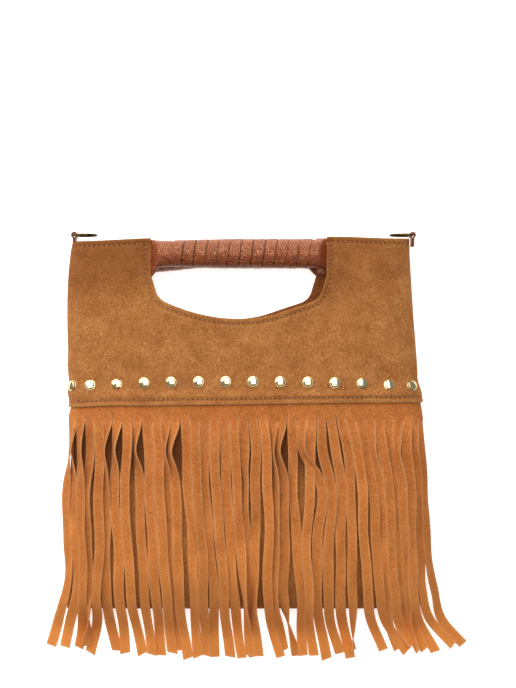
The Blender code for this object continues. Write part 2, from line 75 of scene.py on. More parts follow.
# How far each side stands out from the plain taper, as (Y, left, right) in millimetres
SIDE_SWELLS = (
    (-145, 0.0, 0.0), (-100, 0.0, 1.0), (-60, 0.0, 2.5), (-20, 0.2, 4.2), (6, 1.2, 4.5), (16, -0.8, 3.2),
    (23, 0.2, 2.6), (30, 2.0, 2.6), (37, 3.6, 2.9), (60, 4.8, 2.2), (85, 6.1, 1.0), (105, 6.4, 0.3),
    (125, 5.6, -0.3), (137, 4.4, -0.5), (146, 2.6, -0.4),
)

BACK_SUEDE_DARK = "#6E3C1C"
BACK_SUEDE = "#97592C"
BACK_SUEDE_LIGHT = "#B3733F"

front_lace_low, front_lace_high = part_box("front_handle_lace")
back_lace_low, back_lace_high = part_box("back_handle_lace")
HANDLE_Y = (front_lace_low[1] + front_lace_high[1]) / 2
FRONT_HANDLE_Z = (front_lace_low[2] + front_lace_high[2]) / 2
BACK_HANDLE_Z = (back_lace_low[2] + back_lace_high[2]) / 2


def smooth(t):
    t = np.clip(t, 0.0, 1.0)
    return t * t * (3 - 2 * t)


def through(knots, values, places):
    # A soft line through the values, without overshoot at the ends.
    knots = np.array(knots)
    values = np.array(values, dtype=float)
    slopes = np.gradient(values, knots)
    i = np.clip(np.searchsorted(knots, places) - 1, 0, len(knots) - 2)
    run = knots[i + 1] - knots[i]
    t = np.clip((places - knots[i]) / run, 0, 1)
    return (
        values[i] * (1 + 2 * t) * (1 - t) ** 2
        + slopes[i] * run * t * (1 - t) ** 2
        + values[i + 1] * t**2 * (3 - 2 * t)
        - slopes[i + 1] * run * t**2 * (1 - t)
    )


def run_along(points):
    # Distance along a line of points, from its start.
    return np.concatenate([[0], np.cumsum(np.linalg.norm(np.diff(points, axis=0), axis=1))])


def half_width(y, side):
    # The filled sides bulge unevenly, the left one most beside the hand hole.
    share = (TOP_Y - y) / (TOP_Y - BOTTOM_Y)
    rows, left, right = np.array(SIDE_SWELLS).T / 1000
    swell = np.where(side < 0, through(rows, left, y), through(rows, right, y))
    return TOP_HALF_WIDTH + (BOTTOM_HALF_WIDTH - TOP_HALF_WIDTH) * share + swell


def seam_height(y):
    share = smooth((y - BOTTOM_Y) / (2 * FOLD_LENGTH))
    return BOTTOM_SEAM_HEIGHT + (SIDE_SEAM_HEIGHT - BOTTOM_SEAM_HEIGHT) * share


def section(f):
    # Height of the filled front across the bag, as a share of its rise.
    return (1 - np.minimum(np.abs(f), 1.0) ** 3) ** (1 / 3)


def back_section(f):
    past_flat = np.clip((np.abs(f) - BACK_FLAT_SHARE) / (1 - BACK_FLAT_SHARE), 0, 1)
    return (1 - past_flat**2.2) ** (1 / 2.2)


def fold(share):
    return (1 - (1 - np.clip(share, 0, 1)) ** 2.2) ** (1 / 2.2)


# The front handle lies on the back one and holds up the top of the front.
HOLE_SHARE = (HOLE_HALF_WIDTH - HOLE_CENTRE) / half_width(HANDLE_Y, 1)
TOP_RISE = (FRONT_HANDLE_Z - SIDE_SEAM_HEIGHT) / section(HOLE_SHARE)
BACK_LIFT = BACK_HANDLE_Z - SUEDE - GAP - TONGUE_THICKNESS / 2


def front_rise(y):
    return LOWER_RISE + (TOP_RISE - LOWER_RISE) * smooth((y - BOTTOM_Y) / (TOP_Y - BOTTOM_Y))


def back_lift(y):
    return BACK_LIFT * smooth((y - BACK_FLAT_TOP) / (HANDLE_Y - BACK_FLAT_TOP))


def row_place(y, offset):
    share = (y - BOTTOM_Y) / FOLD_LENGTH
    inside_fold = BOTTOM_Y - offset + share * (FOLD_LENGTH + offset)
    return np.where(share >= 1, y, inside_fold), fold(share)


# Soft unevenness of the filled bag: (height, waves per metre across, up, start of the wave)
SWELLS = (
    (0.00045, 7.1, 3.9, 0.4),
    (0.00035, -4.6, 9.7, 1.9),
    (0.00030, 12.4, -6.2, 3.1),
    (0.00022, 16.8, 12.1, 5.0),
    (0.00016, -21.0, 17.5, 2.2),
)


def relief(x, y):
    return sum(h * np.sin(tau * (across * x + up * y) + start) for h, across, up, start in SWELLS)


def front_surface(f, y, offset):
    place, fullness = row_place(y, offset)
    x = (half_width(y, f) + offset) * f
    rise = (front_rise(y) + offset + relief(x, y)) * fullness * section(f)
    return np.stack([x, place, seam_height(y) + GAP / 2 + rise], axis=-1)


def back_surface(f, y, offset):
    place, fullness = row_place(y, offset)
    x = (half_width(y, f) + offset) * f
    depth = seam_height(y) - GAP / 2 - back_lift(y) + offset
    return np.stack([x, place, seam_height(y) - GAP / 2 - depth * fullness * back_section(f)], axis=-1)


def even_shares(count, y, surface):
    # Shares of the half width that are evenly spaced over the suede itself.
    shares = np.sin(np.linspace(-pi / 2, pi / 2, 2001))
    points = surface(shares, np.full_like(shares, y), 0.0)
    run = run_along(points)
    return np.interp(np.linspace(0, run[-1], count), run, shares)


def top_edge(f):
    # The bag lies a little askew, and its top edges rise from the corners to the handle.
    return TOP_Y + TOP_TILT * f - CORNER_DROP * smooth((np.abs(f) - 0.52) / 0.40)


def link(name, mesh, material):
    piece = bpy.data.objects.new(name, mesh)
    bpy.context.scene.collection.objects.link(piece)
    mesh.materials.append(material)
    return piece


def grid_faces(rows, columns, first=0):
    r, c = np.meshgrid(np.arange(rows - 1), np.arange(columns - 1), indexing="ij")
    corner = first + r * columns + c
    return np.stack([corner, corner + 1, corner + columns + 1, corner + columns], axis=-1).reshape(-1, 4)


def closed_sheet(name, outer, inner, material):
    # Two grids of points joined round their rim into one closed sheet of suede.
    rows, columns = outer.shape[:2]
    count = rows * columns
    index = np.arange(count).reshape(rows, columns)
    rim = np.concatenate([index[0, :], index[1:, -1], index[-1, -2::-1], index[-2:0:-1, 0]])
    ahead = np.roll(rim, -1)
    sides = np.stack([rim, ahead, ahead + count, rim + count], axis=-1)
    faces = np.concatenate([grid_faces(rows, columns), grid_faces(rows, columns, count)[:, ::-1], sides])
    mesh = bpy.data.meshes.new(name)
    points = np.concatenate([outer.reshape(-1, 3), inner.reshape(-1, 3)])
    mesh.from_pydata(points.tolist(), [], faces.tolist())
    face_outward(mesh)
    mesh.shade_smooth()
    return link(name, mesh, material)


def face_outward(mesh):
    bm = bmesh.new()
    bm.from_mesh(mesh)
    bmesh.ops.recalc_face_normals(bm, faces=bm.faces)
    if bm.calc_volume(signed=True) < 0:
        bmesh.ops.reverse_faces(bm, faces=bm.faces)
    bm.to_mesh(mesh)
    bm.free()


def hole_outline(centre, grown=0.0):
    # Upright sides beside the handle, a lean below it, round corners, and a floor that sags in a
    # shallow curve. The line runs from above the right side, round the floor, to above the left.
    corner = np.array([HOLE_HALF_WIDTH - HOLE_LEAN, HOLE_FLOOR_Y + HOLE_FLOOR_RISE])
    shoulder = np.array([HOLE_HALF_WIDTH, HOLE_SHOULDER_Y])
    side_end = corner + (shoulder - corner) * HOLE_CORNER / np.linalg.norm(shoulder - corner)
    floor = np.linspace(corner[0] - HOLE_CORNER, 0, 40)
    floor = np.stack([floor, HOLE_FLOOR_Y + HOLE_FLOOR_RISE * (floor / corner[0]) ** 2], axis=-1)
    t = np.linspace(0, 1, 12)[:-1, None]
    bend = (1 - t) ** 2 * side_end + 2 * t * (1 - t) * corner + t**2 * floor[0]
    half = np.concatenate([[[HOLE_HALF_WIDTH, TOP_Y + 0.03], shoulder], bend, floor])
    line = np.concatenate([half, half[-2::-1] * [-1, 1]])
    line[:, 1] += HOLE_UNEVEN * np.exp(-(((line[:, 0] - 0.042) / 0.014) ** 2))
    run = run_along(line)
    even = np.linspace(0, run[-1], int(run[-1] / 0.0013))
    line = np.stack([np.interp(even, run, line[:, k]) for k in (0, 1)], axis=-1)
    ahead = np.gradient(line, axis=0)
    ahead /= np.linalg.norm(ahead, axis=1, keepdims=True)
    outward = np.stack([-ahead[:, 1], ahead[:, 0]], axis=-1)
    return line + grown * outward + [centre, 0]


def cut_hole(panel, centre):
    bm = bmesh.new()
    base = bm.faces.new([bm.verts.new((x, y, HOLE_CUT_FLOOR)) for x, y in hole_outline(centre)])
    grown = bmesh.ops.extrude_face_region(bm, geom=[base])
    raised = [item for item in grown["geom"] if isinstance(item, bmesh.types.BMVert)]
    bmesh.ops.translate(bm, verts=raised, vec=(0, 0, HOLE_CUT_HEIGHT))
    bmesh.ops.recalc_face_normals(bm, faces=bm.faces)
    mesh = bpy.data.meshes.new("hole_cutter")
    bm.to_mesh(mesh)
    bm.free()
    cutter = bpy.data.objects.new("hole_cutter", mesh)
    bpy.context.scene.collection.objects.link(cutter)
    cut = panel.modifiers.new("hole", "BOOLEAN")
    cut.operation = "DIFFERENCE"
    cut.solver = "MANIFOLD"
    cut.object = cutter
    keep_result(panel)
    bpy.data.objects.remove(cutter)


def keep_result(piece):
    # The modifiers' result becomes the piece's own mesh.
    evaluated = piece.evaluated_get(bpy.context.evaluated_depsgraph_get())
    piece_mesh = bpy.data.meshes.new_from_object(evaluated)
    piece.modifiers.clear()
    piece.data = piece_mesh


def linear(hex_colour):
    values = [int(hex_colour[i:i + 2], 16) / 255 for i in (1, 3, 5)]
    return [v / 12.92 if v <= 0.04045 else ((v + 0.055) / 1.055) ** 2.4 for v in values] + [1.0]


def add_node(tree, kind, settings=None, links=None):
    # A number or a capital letter names an input, and a small letter one of the node's settings.
    made = tree.nodes.new(kind)
    for name, value in (settings or {}).items():
        if isinstance(name, int) or name[0].isupper():
            made.inputs[name].default_value = value
        else:
            setattr(made, name, value)
    for name, output in (links or {}).items():
        tree.links.new(output, made.inputs[name])
    return made


def new_material(name):
    material = bpy.data.materials.new(name)
    material.use_nodes = True
    tree = material.node_tree
    tree.nodes.clear()
    shader = add_node(tree, "ShaderNodeBsdfPrincipled")
    add_node(tree, "ShaderNodeOutputMaterial", links={"Surface": shader.outputs["BSDF"]})
    return material, tree, shader


def noise(tree, place, size, detail, settings=None):
    # Soft random unevenness, with patches about as wide as the size.
    values = {"Scale": 1 / size, "Detail": detail, **(settings or {})}
    return add_node(tree, "ShaderNodeTexNoise", values, {"Vector": place}).outputs[0]


NAP_PATCH = 0.016
NAP_MOTTLE = 0.0030
NAP_GRAIN = 0.0012


def napped_suede(name, dark, middle, light, patch_share=0.25):
    # Cow suede, buffed on the flesh side. Its nap lies in light and dark patches, its fibre is
    # matt, and edge on it has a soft bloom. The grain is drawn about twice as coarse as
    # the real fibre, so that it shows.
    material, tree, shader = new_material(name)
    place = add_node(tree, "ShaderNodeTexCoord").outputs["Object"]
    patches = noise(tree, place, NAP_PATCH, 4.0, {"Roughness": 0.6, "Distortion": 0.6})
    mottle = noise(tree, place, NAP_MOTTLE, 3.0, {"Roughness": 0.65})
    grain = noise(tree, place, NAP_GRAIN, 3.0, {"Roughness": 0.75})
    wide = add_node(tree, "ShaderNodeMath", {"operation": "MULTIPLY", 1: patch_share}, {0: patches})
    close = add_node(tree, "ShaderNodeMath", {"operation": "MULTIPLY_ADD", 1: 0.38 - patch_share},
                     {0: mottle, 2: wide.outputs[0]})
    both = add_node(tree, "ShaderNodeMath", {"operation": "MULTIPLY_ADD", 1: 0.62},
                    {0: grain, 2: close.outputs[0]})
    tones = add_node(tree, "ShaderNodeValToRGB", links={0: both.outputs[0]})
    ramp = tones.color_ramp
    ramp.elements[0].position = 0.36
    ramp.elements[0].color = linear(dark)
    ramp.elements[1].position = 0.64
    ramp.elements[1].color = linear(light)
    ramp.elements.new(0.50).color = linear(middle)
    tree.links.new(tones.outputs[0], shader.inputs["Base Color"])
    nap = add_node(tree, "ShaderNodeMath", {"operation": "MULTIPLY_ADD", 1: 0.6}, {0: grain, 2: mottle})
    bump = add_node(tree, "ShaderNodeBump", {"Strength": 0.45, "Distance": 0.0007},
                    {"Height": nap.outputs[0]})
    tree.links.new(bump.outputs[0], shader.inputs["Normal"])
    shader.inputs["Roughness"].default_value = 0.95
    shader.inputs["Specular IOR Level"].default_value = 0.15
    shader.inputs["Sheen Weight"].default_value = 0.25
    shader.inputs["Sheen Roughness"].default_value = 0.45
    shader.inputs["Sheen Tint"].default_value = linear("#F0B27A")
    return material, tree, shader, tones.outputs[0]


back_suede = napped_suede("back_panel_suede", BACK_SUEDE_DARK, BACK_SUEDE, BACK_SUEDE_LIGHT)[0]
back_shares = even_shares(141, 0.0, back_surface)
fold_rows = BOTTOM_Y + FOLD_LENGTH * (np.linspace(0, 1, 19)[:-1] ** 1.7)
back_rows = np.concatenate([fold_rows, np.linspace(BOTTOM_Y + FOLD_LENGTH, TOP_Y, 130)])
share_grid, row_grid = np.meshgrid(back_shares, back_rows)
row_grid = row_grid + (top_edge(share_grid) - TOP_Y) * smooth((row_grid - HANDLE_Y + 0.02) / 0.03)
back_panel = closed_sheet(
    "back_panel_suede",
    back_surface(share_grid, row_grid, 0.0),
    back_surface(share_grid, row_grid, -SUEDE),
    back_suede,
)
cut_hole(back_panel, BACK_HOLE_CENTRE)
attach(back_panel, "bag")
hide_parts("back_panel")

# Front panel
# The suede front of the pouch below the yoke. Only slivers of it show, in the shade between the
# fringe strips, and it is sewn under the yoke's lower edge.
YOKE_EDGE = 0.016
PANEL_TOP = YOKE_EDGE + 0.0065


def painted(tree, colour, attribute, other, strength):
    # Mixes another colour into the suede where a mark on the mesh says so: painted light, painted shade, a
    # darker patch or a paler cut edge.
    mark = add_node(tree, "ShaderNodeAttribute", {"attribute_name": attribute}).outputs["Fac"]
    share = add_node(tree, "ShaderNodeMath", {"operation": "MULTIPLY", 1: strength}, {0: mark})
    mix = add_node(tree, "ShaderNodeMix", {"data_type": "RGBA", 7: linear(other)},
                   {0: share.outputs[0], 6: colour})
    return mix.outputs[2]


def mark_points(mesh, name, values):
    mesh.attributes.new(name, "FLOAT", "POINT").data.foreach_set("value", values)


# Painted shade: darker close under the yoke, where the yoke and the tops of the strips shade the panel.
panel_suede, tree, shader, colour = napped_suede("front_panel_suede", "#774322", "#A0602E", "#B87840")
colour = painted(tree, colour, "under_yoke_shade", "#4A2410", 0.75)
tree.links.new(colour, shader.inputs["Base Color"])
front_shares = even_shares(141, 0.0, front_surface)
panel_rows = np.concatenate([fold_rows, np.linspace(BOTTOM_Y + FOLD_LENGTH, PANEL_TOP, 80)])
share_grid, row_grid = np.meshgrid(front_shares, panel_rows)
front_panel = closed_sheet(
    "front_panel_suede",
    front_surface(share_grid, row_grid, 0.0),
    front_surface(share_grid, row_grid, -SUEDE),
    panel_suede,
)
# Painted shade, full close under the yoke and fading out lower down the panel.
under_yoke_shade = smooth((row_grid + 0.058) / 0.036)
mark_points(front_panel.data, "under_yoke_shade", np.tile(under_yoke_shade.ravel(), 2))
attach(front_panel, "bag")
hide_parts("front_panel")

# Fringe
# One band of thinner split suede, sewn under the yoke and slit by hand into strips about 7.5 mm
# wide. The strips lie over the filled pouch, twist and cross a little, and spread on the table.
STRIP_SUEDE = 0.0011
FRINGE_LEVEL = GAP + SUEDE / 2
STRIP_PITCH = 0.0075
SLIT_WIDTH = 0.0003
SLIT_TOP = 0.0063
SLIT_SCATTER = 0.0035
STRIP_COUNT = 39
LEVEL_STEP = 0.0016
STRIP_HALF = 0.0039
DRAPE_SLOPE = 1.1
DRAPE_EASE = 0.010
FLARE_Y = -0.156
FLARE_SHARE = 0.30
SIDE_FLARE_SHARE = 0.32
SLOPE_STEP = 0.0015
FRINGE_EDGE_SHARE = 0.985

# Where each strip runs, in millimetres. The rows are below the slits, at mid length, at the
# bottom fold and at the cut end, and each strip has its own list:
# across the bag at Y -20, -44, -90 and -129, then the end's place, then its twist in degrees
# at those five rows, then its level over the body and on the table.
STRIP_ROWS = (-0.020, -0.044, -0.090, -0.129)
STRIPS = (
    ((-133.5, -137.5, -136.5, -137.5), (-152, -175), (48, 8, 0, 8, 5), (1, 0)),
    ((-131, -132, -130.5, -129.5), (-141, -176), (62, 10, -10, -5, 10), (0, 1)),
    ((-126, -126, -125, -124.5), (-130, -177), (40, 5, 8, 0, 0), (2, 0)),
    ((-118, -120.5, -120.5, -121), (-124.5, -175), (10, 30, 10, 0, 175), (0, 1)),
    ((-110.5, -111.5, -111, -113.5), (-120.5, -181), (0, 5, -5, 4, 0), (2, 0)),
    ((-105.5, -106, -105.5, -106.5), (-100, -179), (68, 35, 15, 10, -10), (0, 0)),
    ((-97.5, -99.5, -96.5, -96), (-93, -181), (66, 12, 0, -6, 0), (1, 1)),
    ((-89, -91.5, -89, -87), (-80, -182), (15, 5, 5, 0, 8), (2, 0)),
    ((-81, -80, -78.5, -76.5), (-72.5, -182), (66, 10, -5, 5, 0), (0, 1)),
    ((-72.5, -72, -70, -68), (-64.5, -183), (5, 0, 5, -5, 5), (1, 0)),
    ((-65, -64.5, -62, -59.5), (-56, -181), (-5, 5, 0, 6, -8), (2, 1)),
    ((-59, -58.5, -55.5, -53.5), (-50, -179), (64, 20, 10, 0, 0), (0, 0)),
    ((-54.5, -52.5, -50.5, -50), (-44, -185), (62, 8, -6, 5, 0), (1, 1)),
    ((-43.5, -43, -39, -38.5), (-36, -184), (0, 6, 0, 25, 10), (0, 0)),
    ((-36.5, -36, -32, -31), (-30, -183), (8, 0, -6, 0, 5), (1, 1)),
    ((-29.5, -30, -26, -23), (-23, -184), (-6, 5, 5, -4, 0), (0, 0)),
    ((-22, -21.5, -17.5, -15), (-11, -184), (6, 0, -4, 6, 5), (1, 1)),
    ((-14, -13, -10, -7.5), (-1, -185), (-4, 6, 0, 12, 0), (0, 0)),
    ((-6.5, -5, -2.5, 1), (6, -183), (10, 0, -8, 62, 10), (1, 1)),
    ((1.5, 2, 3, 5), (8, -184), (20, 62, 20, 10, 0), (0, 0)),
    ((10, 9, 9.5, 8), (11.5, -183), (0, -22, 10, 55, 0), (1, 2)),
    ((18, 18.5, 20, 18.5), (29, -184), (12, 0, 6, -8, 20), (2, 0)),
    ((24.5, 25.5, 25, 24.5), (32, -179), (68, 60, 40, 50, 0), (0, 1)),
    ((28.5, 31, 31.5, 31), (42, -183), (60, 25, 5, 0, 170), (1, 0)),
    ((38, 38.5, 41, 44.5), (47, -183), (-12, 15, 5, 6, 0), (0, 1)),
    ((47, 59, 57, 57), (65.5, -186), (50, 10, 0, -5, 0), (1, 0)),
    ((51.5, 51.5, 48.5, 50.5), (55, -183), (10, 0, 8, 30, 0), (2, 1)),
    ((61, 67, 66, 65.5), (75.5, -181), (-15, 5, 0, 5, 8), (1, 1)),
    ((71.5, 75, 75, 75), (84, -185), (12, 0, -6, 0, 0), (0, 0)),
    ((80.5, 82.5, 83.5, 84.5), (87, -178), (10, 5, 25, 5, 120), (1, 1)),
    ((88, 91, 93, 96.5), (110, -179), (0, 8, 0, -6, 10), (2, 0)),
    ((94.5, 99, 102.5, 105.5), (128, -180), (-10, 5, 6, 5, 0), (1, 1)),
    ((101, 104.5, 108.5, 111), (122, -178), (50, 20, 30, 25, 30), (0, 0)),
    ((107.5, 112, 114, 117), (133, -174), (8, 0, -5, 5, -40), (2, 2)),
    ((113.5, 118, 121, 125), (137.5, -180), (20, 10, 5, 0, 75), (0, 0)),
    ((120, 122.5, 125, 128.5), (143, -178), (58, 50, 20, 8, 0), (1, 1)),
    ((126.5, 129, 130.5, 132), (151, -180), (10, 5, 0, 0, 8), (2, 0)),
    ((133, 135.5, 137.5, 140), (165, -175), (30, 10, 12, 5, 0), (0, 1)),
    ((137.5, 140.5, 142.5, 149.5), (173.5, -174), (10, 0, 5, 0, 5), (1, 0)),
)


def arc_shares(arcs, y):
    shares = np.sin(np.linspace(-pi / 2, pi / 2, 2001))
    points = front_surface(shares, np.full_like(shares, y), FRINGE_LEVEL)
    run = run_along(points)
    return np.interp(arcs, run - run[1000], shares)


def draped_height(x, y, offset):
    # Over the body inside its outline, then down beside it to the table.
    low_y = BOTTOM_Y - offset
    share = np.maximum(0.02, (y - low_y) / (FOLD_LENGTH + offset))
    inside_y = low_y + share * (FOLD_LENGTH + offset)
    reach = half_width(inside_y, x) + offset
    f = np.minimum(np.abs(x) / reach, FRINGE_EDGE_SHARE)
    rise = (front_rise(inside_y) + offset + relief(x, inside_y)) * fold(share) * section(f)
    past_edge = np.hypot(np.maximum(0, np.abs(x) - reach), np.maximum(0, low_y - y))
    falling = seam_height(inside_y) + GAP / 2 + rise - DRAPE_SLOPE * past_edge
    on_table = STRIP_SUEDE / 2 + GAP + offset - FRINGE_LEVEL
    overlap = np.clip((DRAPE_EASE - np.abs(falling - on_table)) / DRAPE_EASE, 0, 1)
    return np.maximum(falling, on_table) + overlap**2 * DRAPE_EASE / 4


def soften(values, passes):
    for _ in range(passes):
        values[1:-1] = (values[:-2] + 2 * values[1:-1] + values[2:]) / 4
    return values


chance = np.random.default_rng(41)
half_count = STRIP_COUNT / 2
edge_arcs = (np.arange(STRIP_COUNT + 1) - half_count) * STRIP_PITCH
ACROSS = np.array([-1.0, -0.86, -0.45, 0.0, 0.45, 0.86, 1.0])
COLUMNS = len(ACROSS)
BAND_ROWS = 7


def slit_top(index):
    return SLIT_TOP + SLIT_SCATTER * np.sin(2.4 * index)


def strip_grids(index):
    # The upper and lower faces of one strip with its share of the band, and its colour marks: cut edges,
    # tone, and painted light towards its end.
    runs, (end_x, end_y), twists, (level, table_level) = STRIPS[index]
    end = np.array([end_x, end_y]) / 1000
    start = (slit_top(index) + slit_top(index + 1)) / 2
    first_y = start - 0.004
    past = np.linspace(0, 1, 34)
    stations = np.concatenate([
        np.linspace(first_y, BOTTOM_Y + 0.022, 52)[:-1],
        BOTTOM_Y + 0.022 + (end[1] - BOTTOM_Y - 0.022) * past,
    ])
    # At the sides the band turns away, and a strip starts level with the band's outer edge.
    shares = arc_shares(edge_arcs[index:index + 2], SLIT_TOP)
    sides = (half_width(SLIT_TOP, shares) + FRINGE_LEVEL) * shares
    inward = (STRIP_PITCH - SLIT_WIDTH - (sides[1] - sides[0])) / 2
    start_x = sides.mean() - copysign(inward, sides.mean())
    knots = [end[1]] + list(reversed(STRIP_ROWS)) + [start]
    places = [end[0]] + [x / 1000 for x in reversed(runs)] + [start_x]
    # A strip leaves its line mostly near its end.
    flare = FLARE_SHARE + SIDE_FLARE_SHARE * smooth(1 - index / 4)
    flared = places[1] + flare * (places[0] - places[1])
    x = through([knots[0], FLARE_Y] + knots[1:], [places[0], flared] + places[1:], stations)
    wander = chance.uniform(0, tau, 3)
    fallen = np.clip((first_y - stations) / 0.06, 0, 1)
    x += fallen * 0.00045 * np.sin(tau * stations / 0.061 + wander[0])
    x = soften(x, 3)

    twist = through(knots, list(reversed(twists)) + [0.0], stations)
    twist += fallen * 7 * np.sin(tau * stations / 0.047 + wander[1])
    twist = np.radians(twist) * smooth((start - stations) / 0.012)
    # Near its slit a turned strip keeps its left edge in line, and opens on its right.
    x = x - (1 - np.abs(np.cos(twist))) * STRIP_HALF * smooth((stations + 0.048) / 0.030)

    climb = smooth((start - stations) / 0.016)
    on_table = smooth((BOTTOM_Y + 0.010 - stations) / 0.022)
    height = level + (table_level - level) * on_table
    offset = FRINGE_LEVEL + (GAP + LEVEL_STEP * height) * climb
    half = STRIP_HALF * (1 + chance.uniform(-0.05, 0.05) + 0.03 * np.sin(tau * stations / 0.09 + wander[2]))
    half = half + (STRIP_PITCH / 2 - SLIT_WIDTH / 2 - half) * (1 - climb)
    z = draped_height(x, stations, offset) + np.abs(np.sin(twist)) * half * 0.9
    z = soften(z, 2)
    curl_end = np.clip((BOTTOM_Y - 0.012 - stations) / 0.02, 0, 1) ** 2
    z += curl_end * chance.uniform(0.0, 0.0022)
    middle = np.stack([x, stations, z], axis=-1)

    ahead = np.gradient(middle, axis=0)
    ahead /= np.linalg.norm(ahead, axis=1, keepdims=True)
    slope_x, slope_y = (
        draped_height(x + dx, stations + dy, offset) - draped_height(x - dx, stations - dy, offset)
        for dx, dy in ((STRIP_HALF, 0), (0, SLOPE_STEP))
    )
    up = np.stack([-soften(slope_x, 2) / STRIP_HALF, -soften(slope_y, 2) / SLOPE_STEP,
                   np.full_like(x, 2)], axis=-1)
    side = np.cross(up, ahead)
    side /= np.linalg.norm(side, axis=1, keepdims=True)
    up = np.cross(ahead, side)
    turned = side * np.cos(twist)[:, None] + up * np.sin(twist)[:, None]
    lifted = up * np.cos(twist)[:, None] - side * np.sin(twist)[:, None]

    cup = fallen * (0.00035 * np.sin(tau * stations / 0.083 + wander[0]) + chance.uniform(-0.0003, 0.0003))
    slant = chance.uniform(-0.0016, 0.0016) * np.clip((end[1] + 0.012 - stations) / 0.012, 0, 1)
    body = (
        middle[:, None, :]
        + turned[:, None, :] * (ACROSS * half[:, None])[:, :, None]
        + lifted[:, None, :] * (cup[:, None] * (1 - ACROSS**2))[:, :, None]
        + ahead[:, None, :] * (slant[:, None] * ACROSS)[:, :, None]
    )
    thick = STRIP_SUEDE / 2 * np.where(np.abs(ACROSS) > 0.95, 0.72, 1.0)
    free_top = body + lifted[:, None, :] * thick[None, :, None]
    free_low = body - lifted[:, None, :] * thick[None, :, None]

    left = edge_arcs[index] + SLIT_WIDTH / 2
    arcs = left + (ACROSS + 1) / 2 * (STRIP_PITCH - SLIT_WIDTH)
    shares = arc_shares(arcs, SLIT_TOP)
    ends = slit_top(index) + (slit_top(index + 1) - slit_top(index)) * (ACROSS + 1) / 2
    down = np.linspace(0, 1, BAND_ROWS)[:, None]
    rows = PANEL_TOP + (ends[None, :] - PANEL_TOP) * down
    share_rows = np.broadcast_to(shares, rows.shape)
    band_top = front_surface(share_rows, rows, FRINGE_LEVEL + STRIP_SUEDE / 2)
    band_low = front_surface(share_rows, rows, FRINGE_LEVEL - STRIP_SUEDE / 2)
    top = np.concatenate([band_top, free_top])
    low = np.concatenate([band_low, free_low])

    edge = np.broadcast_to(smooth((np.abs(ACROSS) - 0.75) / 0.25), top.shape[:2]).copy()
    edge[:BAND_ROWS] = 0
    edge[-1] = 1
    tone = np.full(top.shape[:2], chance.uniform(-1, 1))
    # Painted light: the strip is painted brighter towards its end, where it lies face up on the table.
    end_light = np.clip((SLIT_TOP - top[:, :, 1]) / 0.185, 0, 1) ** 2
    return top, low, edge, tone, end_light


def rim_faces(rim, count):
    # Joins the upper and the lower face of a strip along one of its edges.
    return np.stack([rim[:-1], rim[1:], rim[1:] + count, rim[:-1] + count], axis=-1)


def slit_fringe(material):
    points, faces, edges, tones, end_lights = [], [], [], [], []
    total = 0
    firsts = []
    for index in range(STRIP_COUNT):
        top, low, edge, tone, end_light = strip_grids(index)
        rows = top.shape[0]
        count = rows * COLUMNS
        points += [top.reshape(-1, 3), low.reshape(-1, 3)]
        for store, values in ((edges, edge), (tones, tone), (end_lights, end_light)):
            store += [values.ravel(), values.ravel()]
        faces += [grid_faces(rows, COLUMNS, total), grid_faces(rows, COLUMNS, total + count)[:, ::-1]]
        cells = np.arange(count).reshape(rows, COLUMNS) + total
        free = cells[BAND_ROWS - 1:]
        faces += [rim_faces(rim, count) for rim in (free[:, 0], free[:, -1], cells[0], cells[-1])]
        firsts.append((cells, count))
        total += 2 * count
    # Above the slits the strips are one band.
    for (here, count), (after, after_count) in zip(firsts, firsts[1:]):
        a = here[:BAND_ROWS, -1]
        b = after[:BAND_ROWS, 0]
        low_a, low_b = a + count, b + after_count
        faces.append(np.stack([a[:-1], b[:-1], b[1:], a[1:]], axis=-1))
        faces.append(np.stack([low_a[:-1], low_a[1:], low_b[1:], low_b[:-1]], axis=-1))
        for row in (0, BAND_ROWS - 1):
            faces.append(np.array([[a[row], b[row], low_b[row], low_a[row]]]))
    for (cells, count), column in ((firsts[0], 0), (firsts[-1], -1)):
        faces.append(rim_faces(cells[:BAND_ROWS, column], count))
    mesh = bpy.data.meshes.new("slit_fringe")
    mesh.from_pydata(np.concatenate(points).tolist(), [], np.concatenate(faces).tolist())
    # The fallen mark is painted light, brighter towards the strips' ends.
    for name, store in (("edge", edges), ("tone", tones), ("fallen", end_lights)):
        mark_points(mesh, name, np.concatenate(store))
    face_outward(mesh)
    mesh.shade_smooth()
    mesh.set_sharp_from_angle(angle=radians(50))
    return link("slit_fringe", mesh, material)


# Redder than the yoke and paler along each cut edge, with painted light making the strips brighter towards
# their ends, where they lie face up on the table.
fringe_suede, tree, shader, colour = napped_suede(
    "split_suede_strips", "#935124", "#B56A32", "#C98148", patch_share=0.20)
# Painted light: brighter orange towards the strips' ends.
colour = painted(tree, colour, "fallen", "#F09648", 0.60)
colour = painted(tree, colour, "edge", "#E8B27C", 0.35)
tone_mark = add_node(tree, "ShaderNodeAttribute", {"attribute_name": "tone"}).outputs["Fac"]
tone_value = add_node(tree, "ShaderNodeMath", {"operation": "MULTIPLY_ADD", 1: 0.07, 2: 1.0},
                      {0: tone_mark})
toned = add_node(tree, "ShaderNodeHueSaturation",
                 links={"Value": tone_value.outputs[0], "Color": colour})
tree.links.new(toned.outputs[0], shader.inputs["Base Color"])

fringe = slit_fringe(fringe_suede)
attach(fringe, "bag")
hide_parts("front_fringe")

# Yoke
# The plain suede upper front, cut in one piece with the hand hole and lapped over the fringe
# band. Its lower edge is left raw, and a stitch row runs close to each edge.
YOKE_RAISED = 2 * GAP + 2 * SUEDE
YOKE_STEP = 0.005
YOKE_SIDE_STEP = 0.014
STITCH_INSET = 0.0040
SEWN_DIP = 0.0007
EDGE_SWELL = 0.0004


def yoke_lower_edge(x):
    return YOKE_EDGE + 0.0011 * np.clip(x / 0.07, -1, 1) - 0.0014 * smooth((-0.100 - x) / 0.028)


